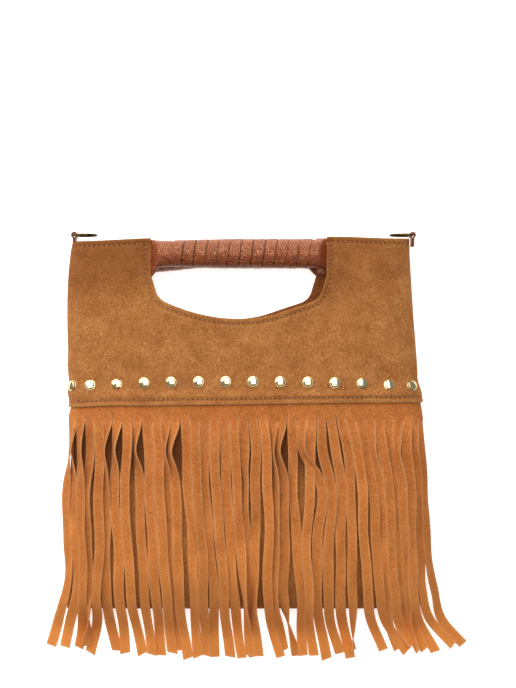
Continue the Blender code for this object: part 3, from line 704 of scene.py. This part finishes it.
def yoke_offset(f, y):
    # The yoke steps down from the fringe band within a few millimetres, and slowly at the sides.
    length = YOKE_STEP + (YOKE_SIDE_STEP - YOKE_STEP) * smooth((np.abs(f) - 0.60) / 0.30)
    return YOKE_RAISED * (1 - smooth((y - PANEL_TOP - GAP) / length))


def hole_distance(x, y):
    # Distance from the edge of the hand hole, over the suede.
    route = hole_outline(HOLE_CENTRE)
    place = np.stack([x, y], axis=-1)[..., None, :]
    start, end = route[:-1], route[1:]
    along = end - start
    share = np.clip(((place - start) * along).sum(-1) / (along**2).sum(-1), 0, 1)
    return np.linalg.norm(place - (start + share[..., None] * along), axis=-1).min(-1)


def sewn_relief(x, y, f):
    # The suede dips along each stitch row and swells a little between the row and the edge.
    rows = (y - yoke_lower_edge(x), top_edge(f) - y, hole_distance(x, y))
    height = np.zeros_like(x)
    for away in rows:
        height -= SEWN_DIP * np.exp(-(((away - STITCH_INSET) / 0.0011) ** 2))
        height += EDGE_SWELL * np.exp(-(((away - 0.0017) / 0.0013) ** 2))
        height += 0.45 * EDGE_SWELL * np.exp(-(((away - 0.0070) / 0.0018) ** 2))
    return height


yoke_columns = even_shares(221, 0.08, front_surface)
yoke_rows = np.linspace(YOKE_EDGE, TOP_Y, 128)
share_grid, row_grid = np.meshgrid(yoke_columns, yoke_rows)
across_grid = half_width(row_grid, share_grid) * share_grid
low_shift = (yoke_lower_edge(across_grid) - YOKE_EDGE) * (1 - smooth((row_grid - YOKE_EDGE) / 0.008))
high_shift = (top_edge(share_grid) - TOP_Y) * smooth((row_grid - HANDLE_Y + 0.02) / 0.03)
row_grid = row_grid + low_shift + high_shift
raised = sewn_relief(across_grid, row_grid, share_grid)
lifted = yoke_offset(share_grid, row_grid)
# Browner than the fringe, darker towards the top beside the hand hole, with painted shade in the groove along
# each stitch row, and paler at the raw edge.
yoke_suede, tree, shader, colour = napped_suede("yoke_suede", "#7A4922", "#A46836", "#C48A52")
colour = painted(tree, colour, "top_darkening", "#6E3A18", 0.55)
# Painted shade in the groove along each stitch row.
colour = painted(tree, colour, "stitch_groove_shade", "#6E3A18", 0.30)
colour = painted(tree, colour, "edge", "#D89A5E", 0.6)
tree.links.new(colour, shader.inputs["Base Color"])
yoke = closed_sheet(
    "yoke_suede",
    front_surface(share_grid, row_grid, lifted) + raised[..., None] * [0, 0, 1],
    front_surface(share_grid, row_grid, lifted - SUEDE),
    yoke_suede,
)
edge_rows = (row_grid - yoke_lower_edge(across_grid), top_edge(share_grid) - row_grid,
             hole_distance(across_grid, row_grid))
marks = {
    "edge": np.exp(-(edge_rows[0] / 0.0008) ** 2),
    # Painted shade in the grooves along the stitch rows.
    "stitch_groove_shade": sum(np.exp(-(((away - STITCH_INSET) / 0.0010) ** 2)) for away in edge_rows),
    # Darker towards the top of the yoke beside the hand hole, less so on the right.
    "top_darkening": smooth((row_grid - 0.092 - 0.006 * np.sin(across_grid * 61)) / 0.026)
    * (1 - 0.60 * smooth((across_grid - 0.05) / 0.05)),
}
for name, values in marks.items():
    mark_points(yoke.data, name, np.tile(np.clip(values, 0, 1).ravel(), 2))
cut_hole(yoke, HOLE_CENTRE)
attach(yoke, "bag")
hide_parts("front_yoke")

# Stitching
# Twisted polyester thread in a straight lockstitch, about 3.7 mm to a stitch, along the raw
# lower edge, the top edges and round the hand hole.
STITCH_PITCH = 0.0037
THREAD_RADIUS = 0.00042
THREAD_PLY = 0.0008


def blended(tree, share, first, second):
    # One colour that passes into another.
    return add_node(tree, "ShaderNodeMix",
                    {"data_type": "RGBA", 6: linear(first), 7: linear(second)}, {0: share}).outputs[2]


# Dull thread close to the suede's own colour, with painted shade where it dips into its needle holes.
thread, tree, shader = new_material("twisted_polyester_thread")
place = add_node(tree, "ShaderNodeTexCoord").outputs["Object"]
ply = noise(tree, place, THREAD_PLY, 1.0)
thread_tones = blended(tree, ply, "#9C6232", "#BE8550")
thread_colour = painted(tree, thread_tones, "shade", "#3A1808", 1.0)
tree.links.new(thread_colour, shader.inputs["Base Color"])
shader.inputs["Roughness"].default_value = 0.6


def yoke_point(x, y):
    f = np.clip(x / half_width(y, x), -1, 1)
    return front_surface(f, y, yoke_offset(f, y)) + np.stack(
        [np.zeros_like(x), np.zeros_like(x), sewn_relief(x, y, f)], axis=-1)


def stitch_places(route, pitch):
    # Both ends of each stitch along a route over the yoke, and of the dark bead of painted shade in the hole
    # between it and the next.
    run = run_along(route)
    count = int(run[-1] / pitch)
    middles = (np.arange(count) + 0.5) * run[-1] / count
    beads = []
    # The second bead in each pitch is a dark bead of painted shade, sunk in the needle hole.
    for shift, reach, shade in ((0.0, 0.30, 0.0), (pitch / 2, 0.19, 1.0)):
        places = [middles + shift + s * pitch * reach for s in (-1, 1)]
        starts, ends = (np.stack([np.interp(at, run, route[:, k]) for k in range(3)], axis=-1)
                        for at in places)
        beads += [(start, end, shade) for start, end in zip(starts, ends)]
    return beads


def stitch_rows():
    x = np.linspace(-0.1275, 0.1285, 400)
    yield yoke_point(x, yoke_lower_edge(x) + STITCH_INSET + 0.0003)
    outline = hole_outline(HOLE_CENTRE, grown=STITCH_INSET)
    route = outline[outline[:, 1] < TOP_Y - 0.0025]
    yield yoke_point(route[:, 0], route[:, 1])
    for low, high in ((-0.127, outline[-1, 0] - 0.001), (outline[0, 0] + 0.001, 0.127)):
        x = np.linspace(low, high, 200)
        yield yoke_point(x, top_edge(x / TOP_HALF_WIDTH) - STITCH_INSET)


def sew(name, rows, material, pitch=STITCH_PITCH, radius=THREAD_RADIUS):
    # Each stitch is a short bead of thread that dips into the suede at both ends.
    sides, rings = 6, 7
    points, faces, shades = [], [], []
    for row in rows:
        for start, end, shade in stitch_places(row, pitch):
            ahead = end - start
            length = np.linalg.norm(ahead)
            if length < radius:
                continue
            ahead = ahead / length
            across = np.cross([0, 0, 1], ahead)
            across /= np.linalg.norm(across)
            up = np.cross(ahead, across)
            first = len(points)
            for k in range(rings):
                t = k / (rings - 1)
                swell = 0.45 + 0.55 * sin(pi * t) ** 0.5
                centre = start + ahead * length * t + up * radius * (sin(pi * t) * (1 - shade) - 0.2)
                for i in range(sides):
                    angle = tau * i / sides
                    points.append(centre + (across * cos(angle) + up * sin(angle)) * radius * swell)
                    # Both ends of a stitch take painted shade where the thread dips into its hole.
                    shades.append(1.0 if k in (0, rings - 1) else shade)
            for k in range(rings - 1):
                for i in range(sides):
                    a = first + k * sides + i
                    b = first + k * sides + (i + 1) % sides
                    faces.append((a, b, b + sides, a + sides))
            faces.append(tuple(first + i for i in reversed(range(sides))))
            faces.append(tuple(first + (rings - 1) * sides + i for i in range(sides)))
    mesh = bpy.data.meshes.new(name)
    mesh.from_pydata([tuple(p) for p in points], [], faces)
    mark_points(mesh, "shade", shades)
    face_outward(mesh)
    mesh.shade_smooth()
    return link(name, mesh, material)


yoke_stitches = sew("yoke_stitches", stitch_rows(), thread)
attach(yoke_stitches, "bag")

# Studs
# Fourteen pressed brass dome studs with a thin flange, polished and lacquered pale gold, set
# through the yoke in one row above its lower edge.
STUD_COUNT = 14
STUD_RADIUS = 0.0043
STUD_HEIGHT = 0.0026
STUD_SUNK = 0.0002
STUD_SIDES = 40
STUD_HAZE = 0.0012
STUD_END_SHIFT = 0.002
FACING_STEP = 0.002

# Polished brass under lacquer, a pale gold mirror with a faint haze.
stud_brass, tree, shader = new_material("polished_pale_brass")
place = add_node(tree, "ShaderNodeTexCoord").outputs["Object"]
haze = noise(tree, place, STUD_HAZE, 2.0)
haze_range = add_node(tree, "ShaderNodeMapRange", {3: 0.07, 4: 0.20}, {0: haze})
tree.links.new(haze_range.outputs[0], shader.inputs["Roughness"])
shader.inputs["Base Color"].default_value = linear("#E6D7A6")
shader.inputs["Metallic"].default_value = 1.0


def seat_on_yoke(centre):
    # The nearest place on the yoke in the stud's own row, and the way that the suede faces there.
    shares = np.sin(np.linspace(-pi / 2, pi / 2, 1601))[4:-4]
    rows = np.full_like(shares, centre.y)
    points = front_surface(shares, rows, yoke_offset(shares, rows))
    # The outermost studs sit a little further in.
    outermost = float(smooth((abs(centre.x) - 0.125) / 0.008))
    wanted_x = centre.x - copysign(STUD_END_SHIFT, centre.x) * outermost
    nearest = int(np.argmin(np.abs(points[:, 0] - wanted_x)))
    above = rows[:1] + FACING_STEP
    below = rows[:1] - FACING_STEP
    share = shares[nearest:nearest + 1]
    rise = (front_surface(share, above, yoke_offset(share, above))
            - front_surface(share, below, yoke_offset(share, below)))[0]
    across = points[min(nearest + 6, len(points) - 1)] - points[max(nearest - 6, 0)]
    normal = Vector(across).cross(Vector(rise)).normalized()
    return Vector(points[nearest]), normal


def stud_profile():
    # A thin flange, a steep wall, and a low dome on top.
    flange, wall, shoulder = 0.00032, 0.0037, 0.0019
    profile = [(STUD_RADIUS - 0.0002, 0.0), (STUD_RADIUS, 0.0001), (STUD_RADIUS, flange - 0.0001)]
    profile += [(STUD_RADIUS - 0.00012, flange), (wall + 0.0001, flange + 0.00003)]
    for angle in np.linspace(0, 1.32, 9):
        profile.append((wall - 0.0007 * (1 - cos(angle)), flange + shoulder - 0.0007 + 0.0007 * sin(angle)))
    edge, top = profile[-1]
    for share in (0.88, 0.75, 0.6, 0.45, 0.3, 0.15):
        profile.append((edge * share, top + (STUD_HEIGHT - top) * (1 - share**2)))
    return profile


def dome_stud(name, centre, normal, material):
    bm = bmesh.new()
    rings = []
    for radius, height in stud_profile():
        ring = [bm.verts.new((radius * cos(tau * i / STUD_SIDES), radius * sin(tau * i / STUD_SIDES), height))
                for i in range(STUD_SIDES)]
        rings.append(ring)
    tip = bm.verts.new((0, 0, STUD_HEIGHT))
    for a, b in zip(rings, rings[1:]):
        for i in range(STUD_SIDES):
            j = (i + 1) % STUD_SIDES
            bm.faces.new((a[i], a[j], b[j], b[i]))
    for i in range(STUD_SIDES):
        bm.faces.new((rings[-1][i], rings[-1][(i + 1) % STUD_SIDES], tip))
    bm.faces.new(list(reversed(rings[0])))
    turn = Vector((0, 0, 1)).rotation_difference(normal).to_matrix().to_4x4()
    bm.transform(Matrix.Translation(centre - normal * STUD_SUNK) @ turn)
    mesh = bpy.data.meshes.new(name)
    bm.to_mesh(mesh)
    bm.free()
    mesh.shade_smooth()
    mesh.set_sharp_from_angle(angle=radians(55))
    return link(name, mesh, material)


for number in range(1, STUD_COUNT + 1):
    node = f"stud_{number:02d}"
    low, high = (Vector(corner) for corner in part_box(node))
    seat, normal = seat_on_yoke((low + high) / 2)
    stud = dome_stud(f"dome_{node}", seat, normal, stud_brass)
    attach(stud, "bag")
    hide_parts(node)

# Handles
# A soft rope core in a cowhide cover, flared and pared thin at both ends, which are sewn to the
# inner side of the suede beside the hand hole. The front handle lies on the back one.
CORE_RADIUS = 0.0084
LACE = 0.0011
LACE_HALF_LENGTH = (front_lace_high[0] - front_lace_low[0]) / 2
TONGUE_LENGTH = 0.012
BACK_LIFTED = 0.0017
COVER_SIDES = 40
HIDE_PEBBLE = 0.0016
HIDE_CLOUD = 0.009
# Fullness, sag to the left, and how far the left and the right flare reach down
HANDLE_BUILDS = {"front": (1.0, 0.0, 0.0078, 0.0), "back": (0.92, 0.115, 0.0045, 0.0055)}

# Waxed hide, red brown and pebbled, glossy on the pebbles, dark along its cut edges, with painted shade in
# the grooves between the laces' turns.
cowhide, tree, shader = new_material("waxed_cowhide")
place = add_node(tree, "ShaderNodeTexCoord").outputs["Object"]
pebble = add_node(tree, "ShaderNodeTexVoronoi",
                  {"feature": "DISTANCE_TO_EDGE", "Scale": 1 / HIDE_PEBBLE, "Randomness": 0.9},
                  {"Vector": place})
crease = add_node(tree, "ShaderNodeMapRange", {2: 0.18}, {0: pebble.outputs["Distance"]})
cloud = noise(tree, place, HIDE_CLOUD, 4.0)
hide_tones = blended(tree, cloud, "#6E2507", "#94380C")
# Painted shade: this mark darkens the laces' cut edges and the grooves between their turns.
edge_and_groove_shade = add_node(tree, "ShaderNodeAttribute", {"attribute_name": "shade"}).outputs["Fac"]
edge_and_groove_shaded_hide = add_node(tree, "ShaderNodeMix", {"data_type": "RGBA", 7: linear("#5E210B")},
                     {0: edge_and_groove_shade, 6: hide_tones})
tree.links.new(edge_and_groove_shaded_hide.outputs[2], shader.inputs["Base Color"])
grain_bump = add_node(tree, "ShaderNodeBump", {"Strength": 0.9, "Distance": 0.0004},
                      {"Height": crease.outputs[0]})
tree.links.new(grain_bump.outputs[0], shader.inputs["Normal"])
gloss = add_node(tree, "ShaderNodeMapRange", {3: 0.38, 4: 0.26}, {0: crease.outputs[0]})
tree.links.new(gloss.outputs[0], shader.inputs["Roughness"])
shader.inputs["Specular IOR Level"].default_value = 1.0
shader.inputs["Specular Tint"].default_value = linear("#FFC99E")
shader.inputs["IOR"].default_value = 1.85


def tube_mesh(name, rings, material, closed=False, shades=None):
    # Rings of points joined into a closed skin.
    count, sides = rings.shape[:2]
    points = rings.reshape(-1, 3)
    faces = []
    for a in range(count if closed else count - 1):
        b = (a + 1) % count
        for i in range(sides):
            j = (i + 1) % sides
            faces.append((a * sides + i, a * sides + j, b * sides + j, b * sides + i))
    if not closed:
        faces.append(tuple(range(sides)))
        faces.append(tuple((count - 1) * sides + i for i in reversed(range(sides))))
    mesh = bpy.data.meshes.new(name)
    mesh.from_pydata(points.tolist(), [], faces)
    mark_points(mesh, "shade", np.zeros(len(points)) if shades is None else shades)
    face_outward(mesh)
    mesh.shade_smooth()
    mesh.set_sharp_from_angle(angle=radians(60))
    return link(name, mesh, material)


def handle_girth(x):
    # The rope inside is a little fuller towards the right.
    return 1 + 0.045 * np.tanh((x + 0.030) / 0.015)


def handle_sag(x, amount):
    # The back handle hangs lower at its left end.
    past = -0.033 - x
    return amount * (np.hypot(past, 0.004) + past) / 2


def handle_cover(name, centre, build, tongue_height, material):
    # From one sewn tongue, through its flare, to the round middle and on to the other tongue.
    fullness, sag, left_drop, right_drop = build
    runs = [0.0, LACE_HALF_LENGTH - 0.0105, LACE_HALF_LENGTH - 0.0080, LACE_HALF_LENGTH + 0.0030,
            HOLE_HALF_WIDTH - 0.0035, HOLE_HALF_WIDTH - GAP, HOLE_HALF_WIDTH + TONGUE_LENGTH]
    ups = [CORE_RADIUS, CORE_RADIUS, 0.0103, 0.0106, 0.0110, 0.0112, 0.0112]
    downs = [0.0, 0.0, 0.0, 0.12, 0.55, 1.0, 1.0]
    thicks = [CORE_RADIUS, CORE_RADIUS, 0.0103, 0.0098, 0.0060, 0.0014, TONGUE_THICKNESS / 2]
    tongues = [0.0, 0.0, 0.0, 0.05, 0.45, 1.0, 1.0]
    flare_start = runs[1] - 0.002
    half = np.concatenate([np.linspace(runs[-1], flare_start, 56), np.linspace(flare_start, 0, 12)[1:]])
    fine = np.concatenate([half, -half[-2::-1]])
    run = np.abs(fine)
    drop = np.where(fine < 0, left_drop, right_drop)
    x = centre.x + fine
    girth = fullness * handle_girth(x)
    up = np.interp(run, runs, ups) * girth
    down = np.interp(run, runs, ups) * girth + np.interp(run, runs, downs) * drop
    thick = np.interp(run, runs, thicks) * girth
    z = centre.z + (tongue_height(x) - centre.z) * np.interp(run, runs, tongues)
    up, down, thick, z = (soften(values, 2) for values in (up, down, thick, z))
    angles = tau * np.arange(COVER_SIDES) / COVER_SIDES
    high = np.where(np.cos(angles)[None, :] > 0, up[:, None], down[:, None])
    rings = np.stack([
        np.broadcast_to(x[:, None], (len(x), COVER_SIDES)),
        centre.y - handle_sag(x, sag)[:, None] + high * np.cos(angles),
        z[:, None] + thick[:, None] * np.sin(angles),
    ], axis=-1)
    return tube_mesh(name, rings, material)


def front_tongue(x):
    f = x / half_width(HANDLE_Y, x)
    return front_surface(f, np.full_like(x, HANDLE_Y), -SUEDE)[..., 2] - GAP - TONGUE_THICKNESS / 2


def back_tongue(x):
    f = x / half_width(HANDLE_Y, x)
    return back_surface(f, np.full_like(x, HANDLE_Y), -SUEDE)[..., 2] + GAP + TONGUE_THICKNESS / 2


front_centre = (Vector(front_lace_low) + Vector(front_lace_high)) / 2
front_centre.x = HOLE_CENTRE
back_centre = (Vector(back_lace_low) + Vector(back_lace_high)) / 2
back_centre.x = BACK_HOLE_CENTRE
back_centre.y += BACK_LIFTED
for side_name, centre, tongue_height in (
    ("front", front_centre, front_tongue), ("back", back_centre, back_tongue),
):
    cover = handle_cover(
        f"{side_name}_handle_cover", centre, HANDLE_BUILDS[side_name], tongue_height, cowhide)
    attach(cover, "bag")
    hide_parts(f"{side_name}_handle_core")

# Handle laces
# One strip of the same hide about 10 mm wide and 1.1 mm thick, wound tightly round each handle.
# Every turn laps over the edge of its neighbour, and twelve slanted turns show from above.
LACE_TURNS = 12
LACE_LAP = 0.11
LACE_SHORT = 0.0018
STEPS_PER_TURN = 48
# The lace's section: place across it in turns, height in lace thicknesses, and how dark it is painted, for
# its cut edges and the shade in the groove under the next turn.
# Its near edge is pared thin, and its far edge lies over the near edge of the next turn.
LACE_SECTION = (
    (0.00, 0.00, 1.0), (0.40, 0.00, 1.0), (0.85, 0.00, 1.0), (0.97, 0.55, 1.0), (1.02, 1.06, 1.0),
    (1.07, 1.12, 1.0), (1.11, 1.40, 1.0), (1.10, 1.82, 0.6), (1.05, 2.00, 0.12), (0.92, 2.06, 0.0),
    (0.70, 2.06, 0.0), (0.45, 2.03, 0.0), (0.22, 1.97, 0.05), (0.145, 1.80, 0.4), (0.13, 1.10, 1.0),
    (0.05, 0.95, 1.0),
)


def wound_lace(name, centre, build, material, seed):
    fullness, sag = build[:2]
    waves = np.random.default_rng(seed).uniform(0, tau, 4)
    low = CORE_RADIUS + GAP
    # Both ends are tucked in underneath.
    pitch = (2 * LACE_HALF_LENGTH - LACE_SHORT) / (LACE_TURNS + 1 + LACE_LAP)
    angles = pi + np.linspace(0, tau * LACE_TURNS, LACE_TURNS * STEPS_PER_TURN + 1)
    x = centre.x - LACE_HALF_LENGTH + LACE_SHORT + pitch * (angles - pi) / tau
    drift = 0.00030 * np.sin(0.83 * angles + waves[0]) + 0.00010 * np.sin(2.9 * angles + waves[1])
    puff = 0.00010 * np.sin(1.7 * angles + waves[2])
    across, heights, shades = np.array(LACE_SECTION).T
    places = (x + drift)[:, None] + across * pitch
    radius = low + heights * LACE + puff[:, None] * (heights > 1)
    radius = radius * fullness * handle_girth(places)
    middle_y = centre.y - handle_sag(places, sag)
    rings = np.stack([
        places,
        middle_y + radius * np.sin(angles)[:, None],
        centre.z + radius * np.cos(angles)[:, None],
    ], axis=-1)
    return tube_mesh(name, rings, material, shades=np.tile(shades, len(angles)))


for side_name, centre, seed in (("front", front_centre, 5), ("back", back_centre, 8)):
    lace = wound_lace(f"{side_name}_handle_wrap", centre, HANDLE_BUILDS[side_name], cowhide, seed)
    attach(lace, "bag")
    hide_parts(f"{side_name}_handle_lace")

# Ring loops
# A short strap of the hide at each top corner, folded round the straight bar of a D-ring and
# sewn into the end of the side seam.
LOOP_ROOM = 0.0015
STRAP = 0.0012
LOOP_HEIGHT = 0.013
LOOP_LEG = 0.009


def loop_centre(side_name):
    low, high = (Vector(corner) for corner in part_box(f"{side_name}_ring_loop"))
    leg_middle = (low + high) / 2
    return Vector((leg_middle.x, high.y - LOOP_ROOM - STRAP, leg_middle.z))


def folded_loop(name, side_name, material):
    radius = LOOP_ROOM + STRAP / 2
    leg = (STRAP + GAP) / 2
    centre = loop_centre(side_name)
    # The fold runs round the bar from one leg to the other.
    half_gap = pi / 2 - acos(leg / radius)
    first = -pi / 2 - half_gap
    angles = np.linspace(first, first - 2 * (pi - half_gap), 49)
    path = [(-leg, y) for y in np.linspace(-LOOP_LEG, -radius - 0.0004, 8)]
    path += [(radius * cos(a), radius * sin(a)) for a in angles]
    path += [(leg, y) for y in np.linspace(-radius - 0.0004, -LOOP_LEG, 8)]
    path = soften(np.array(path), 2)
    ahead = np.gradient(path, axis=0)
    ahead /= np.linalg.norm(ahead, axis=1, keepdims=True)
    out = np.stack([-ahead[:, 1], ahead[:, 0]], axis=-1)
    half_height = LOOP_HEIGHT / 2
    # A flat section with slightly rounded edges, as (outward, upward) pairs
    flat = [(1.0, -0.9), (1.0, -0.3), (1.0, 0.3), (1.0, 0.9), (0.7, 1.0), (-0.7, 1.0),
            (-1.0, 0.9), (-1.0, 0.3), (-1.0, -0.3), (-1.0, -0.9), (-0.7, -1.0), (0.7, -1.0)]
    rings = [
        [(centre.x + x + out_x * o * STRAP / 2, centre.y + y + out_y * o * STRAP / 2,
          centre.z + u * half_height) for o, u in flat]
        for (x, y), (out_x, out_y) in zip(path, out)
    ]
    return tube_mesh(name, np.array(rings), material)


for side_name in ("left", "right"):
    loop = folded_loop(f"{side_name}_hide_loop", side_name, cowhide)
    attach(loop, "bag")
    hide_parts(f"{side_name}_ring_loop")

# D-rings
# Bent and brazed 2 mm brass wire with an antiqued finish, one in each loop. Each swings about
# its straight bar, and at rest it lies in along the top edge.
RING_WIRE = 0.0010
RING_HALF_HEIGHT = 0.010
RING_DEPTH = 0.017
RING_CORNER = 0.0025
RING_SIDES = 20
RING_TARNISH = 0.003

# Antiqued brass, dark, with brighter metal where the tarnish is thin.
ring_brass, tree, shader = new_material("antiqued_brass_wire")
place = add_node(tree, "ShaderNodeTexCoord").outputs["Object"]
tarnish = noise(tree, place, RING_TARNISH, 4.0)
ring_tones = blended(tree, tarnish, "#2E2414", "#6A5833")
tree.links.new(ring_tones, shader.inputs["Base Color"])
ring_gloss = add_node(tree, "ShaderNodeMapRange", {3: 0.45, 4: 0.22}, {0: tarnish})
tree.links.new(ring_gloss.outputs[0], shader.inputs["Roughness"])
shader.inputs["Metallic"].default_value = 1.0


def ring_route():
    r, h = RING_CORNER, RING_HALF_HEIGHT
    bow = RING_DEPTH - h
    corner = [(r - r * cos(a), h - r + r * sin(a)) for a in np.linspace(0, pi / 2, 9)]
    arc = [(bow + h * cos(a), h * sin(a)) for a in np.linspace(pi / 2, -pi / 2, 45)]
    bar = [(0.0, z) for z in np.linspace(-(h - r), h - r, 9)[1:-1]]
    arm = [(d, h) for d in np.linspace(r, bow, 6)[1:-1]]
    lower = [(d, -z) for d, z in reversed(corner + arm)]
    return corner + arm + arc + lower + bar


def wire_ring(name, side_name, side, material):
    centre = loop_centre(side_name)
    route = np.array([(-side * d, 0.0, z) for d, z in ring_route()])
    ahead = np.roll(route, -1, axis=0) - np.roll(route, 1, axis=0)
    ahead /= np.linalg.norm(ahead, axis=1, keepdims=True)
    out = np.cross(ahead, [0.0, 1.0, 0.0])
    angles = tau * np.arange(RING_SIDES) / RING_SIDES
    rings = (
        np.array(centre)
        + route[:, None, :]
        + RING_WIRE * (out[:, None, :] * np.cos(angles)[None, :, None]
                       + np.array([0.0, 1.0, 0.0]) * np.sin(angles)[None, :, None])
    )
    return tube_mesh(name, rings, material, closed=True)


for side_name, side in (("left", -1), ("right", 1)):
    ring = wire_ring(f"{side_name}_wire_ring", side_name, side, ring_brass)
    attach(ring, f"{side_name}_ring")
    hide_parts(f"{side_name}_d_ring")

# Studio
# A table of white acrylic, lit a little from below, with one wide soft light beyond the top of
# the bag, a smaller one high above it, and the camera straight over it.
CAMERA_PLACE = (0.0113, 0.0625, 1.6)
FRAME_HEIGHT = 0.5366
SENSOR = 36.0
BAG_MIDDLE_HEIGHT = 0.020
FLOOR_HALF = 4.0
FLOOR_LEVEL = -0.0002

# Matt white that glows a little, so that the bag's shadow on it nearly disappears.
table_white, tree, shader = new_material("matt_white_acrylic")
shader.inputs["Base Color"].default_value = linear("#FBFBFB")
shader.inputs["Roughness"].default_value = 0.9
shader.inputs["Emission Color"].default_value = linear("#FFFFFF")
shader.inputs["Emission Strength"].default_value = 0.70
floor_mesh = bpy.data.meshes.new("floor")
floor_corners = [(x * FLOOR_HALF, y * FLOOR_HALF, FLOOR_LEVEL)
                 for x, y in ((-1, -1), (1, -1), (1, 1), (-1, 1))]
floor_mesh.from_pydata(floor_corners, [], [(0, 1, 2, 3)])
floor = link("floor", floor_mesh, table_white)

world = bpy.data.worlds.new("studio")
bpy.context.scene.world = world
world.use_nodes = True
world.node_tree.nodes["Background"].inputs["Color"].default_value = linear("#FFFFFF")
world.node_tree.nodes["Background"].inputs["Strength"].default_value = 0.26


def soft_light(name, place, aim, size, power):
    lamp = bpy.data.lights.new(name, "AREA")
    lamp.shape = "RECTANGLE"
    lamp.size, lamp.size_y = size
    lamp.energy = power
    holder = bpy.data.objects.new(name, lamp)
    holder.location = place
    holder.rotation_euler = (Vector(aim) - Vector(place)).to_track_quat("-Z", "Y").to_euler()
    bpy.context.scene.collection.objects.link(holder)


soft_light("key_light", (-0.60, 1.15, 1.10), (0, 0.05, 0), (2.2, 2.0), 34.5)
soft_light("top_light", (0.14, 0.26, 1.90), (0.14, 0.26, 0), (1.05, 1.20), 13)

camera_data = bpy.data.cameras.new("camera")
camera_data.sensor_fit = "VERTICAL"
camera_data.sensor_height = SENSOR
camera_data.lens = SENSOR * (CAMERA_PLACE[2] - BAG_MIDDLE_HEIGHT) / FRAME_HEIGHT
camera = bpy.data.objects.new("camera", camera_data)
camera.location = CAMERA_PLACE
bpy.context.scene.collection.objects.link(camera)
bpy.context.scene.camera = camera
bpy.context.scene.view_settings.view_transform = "Standard"
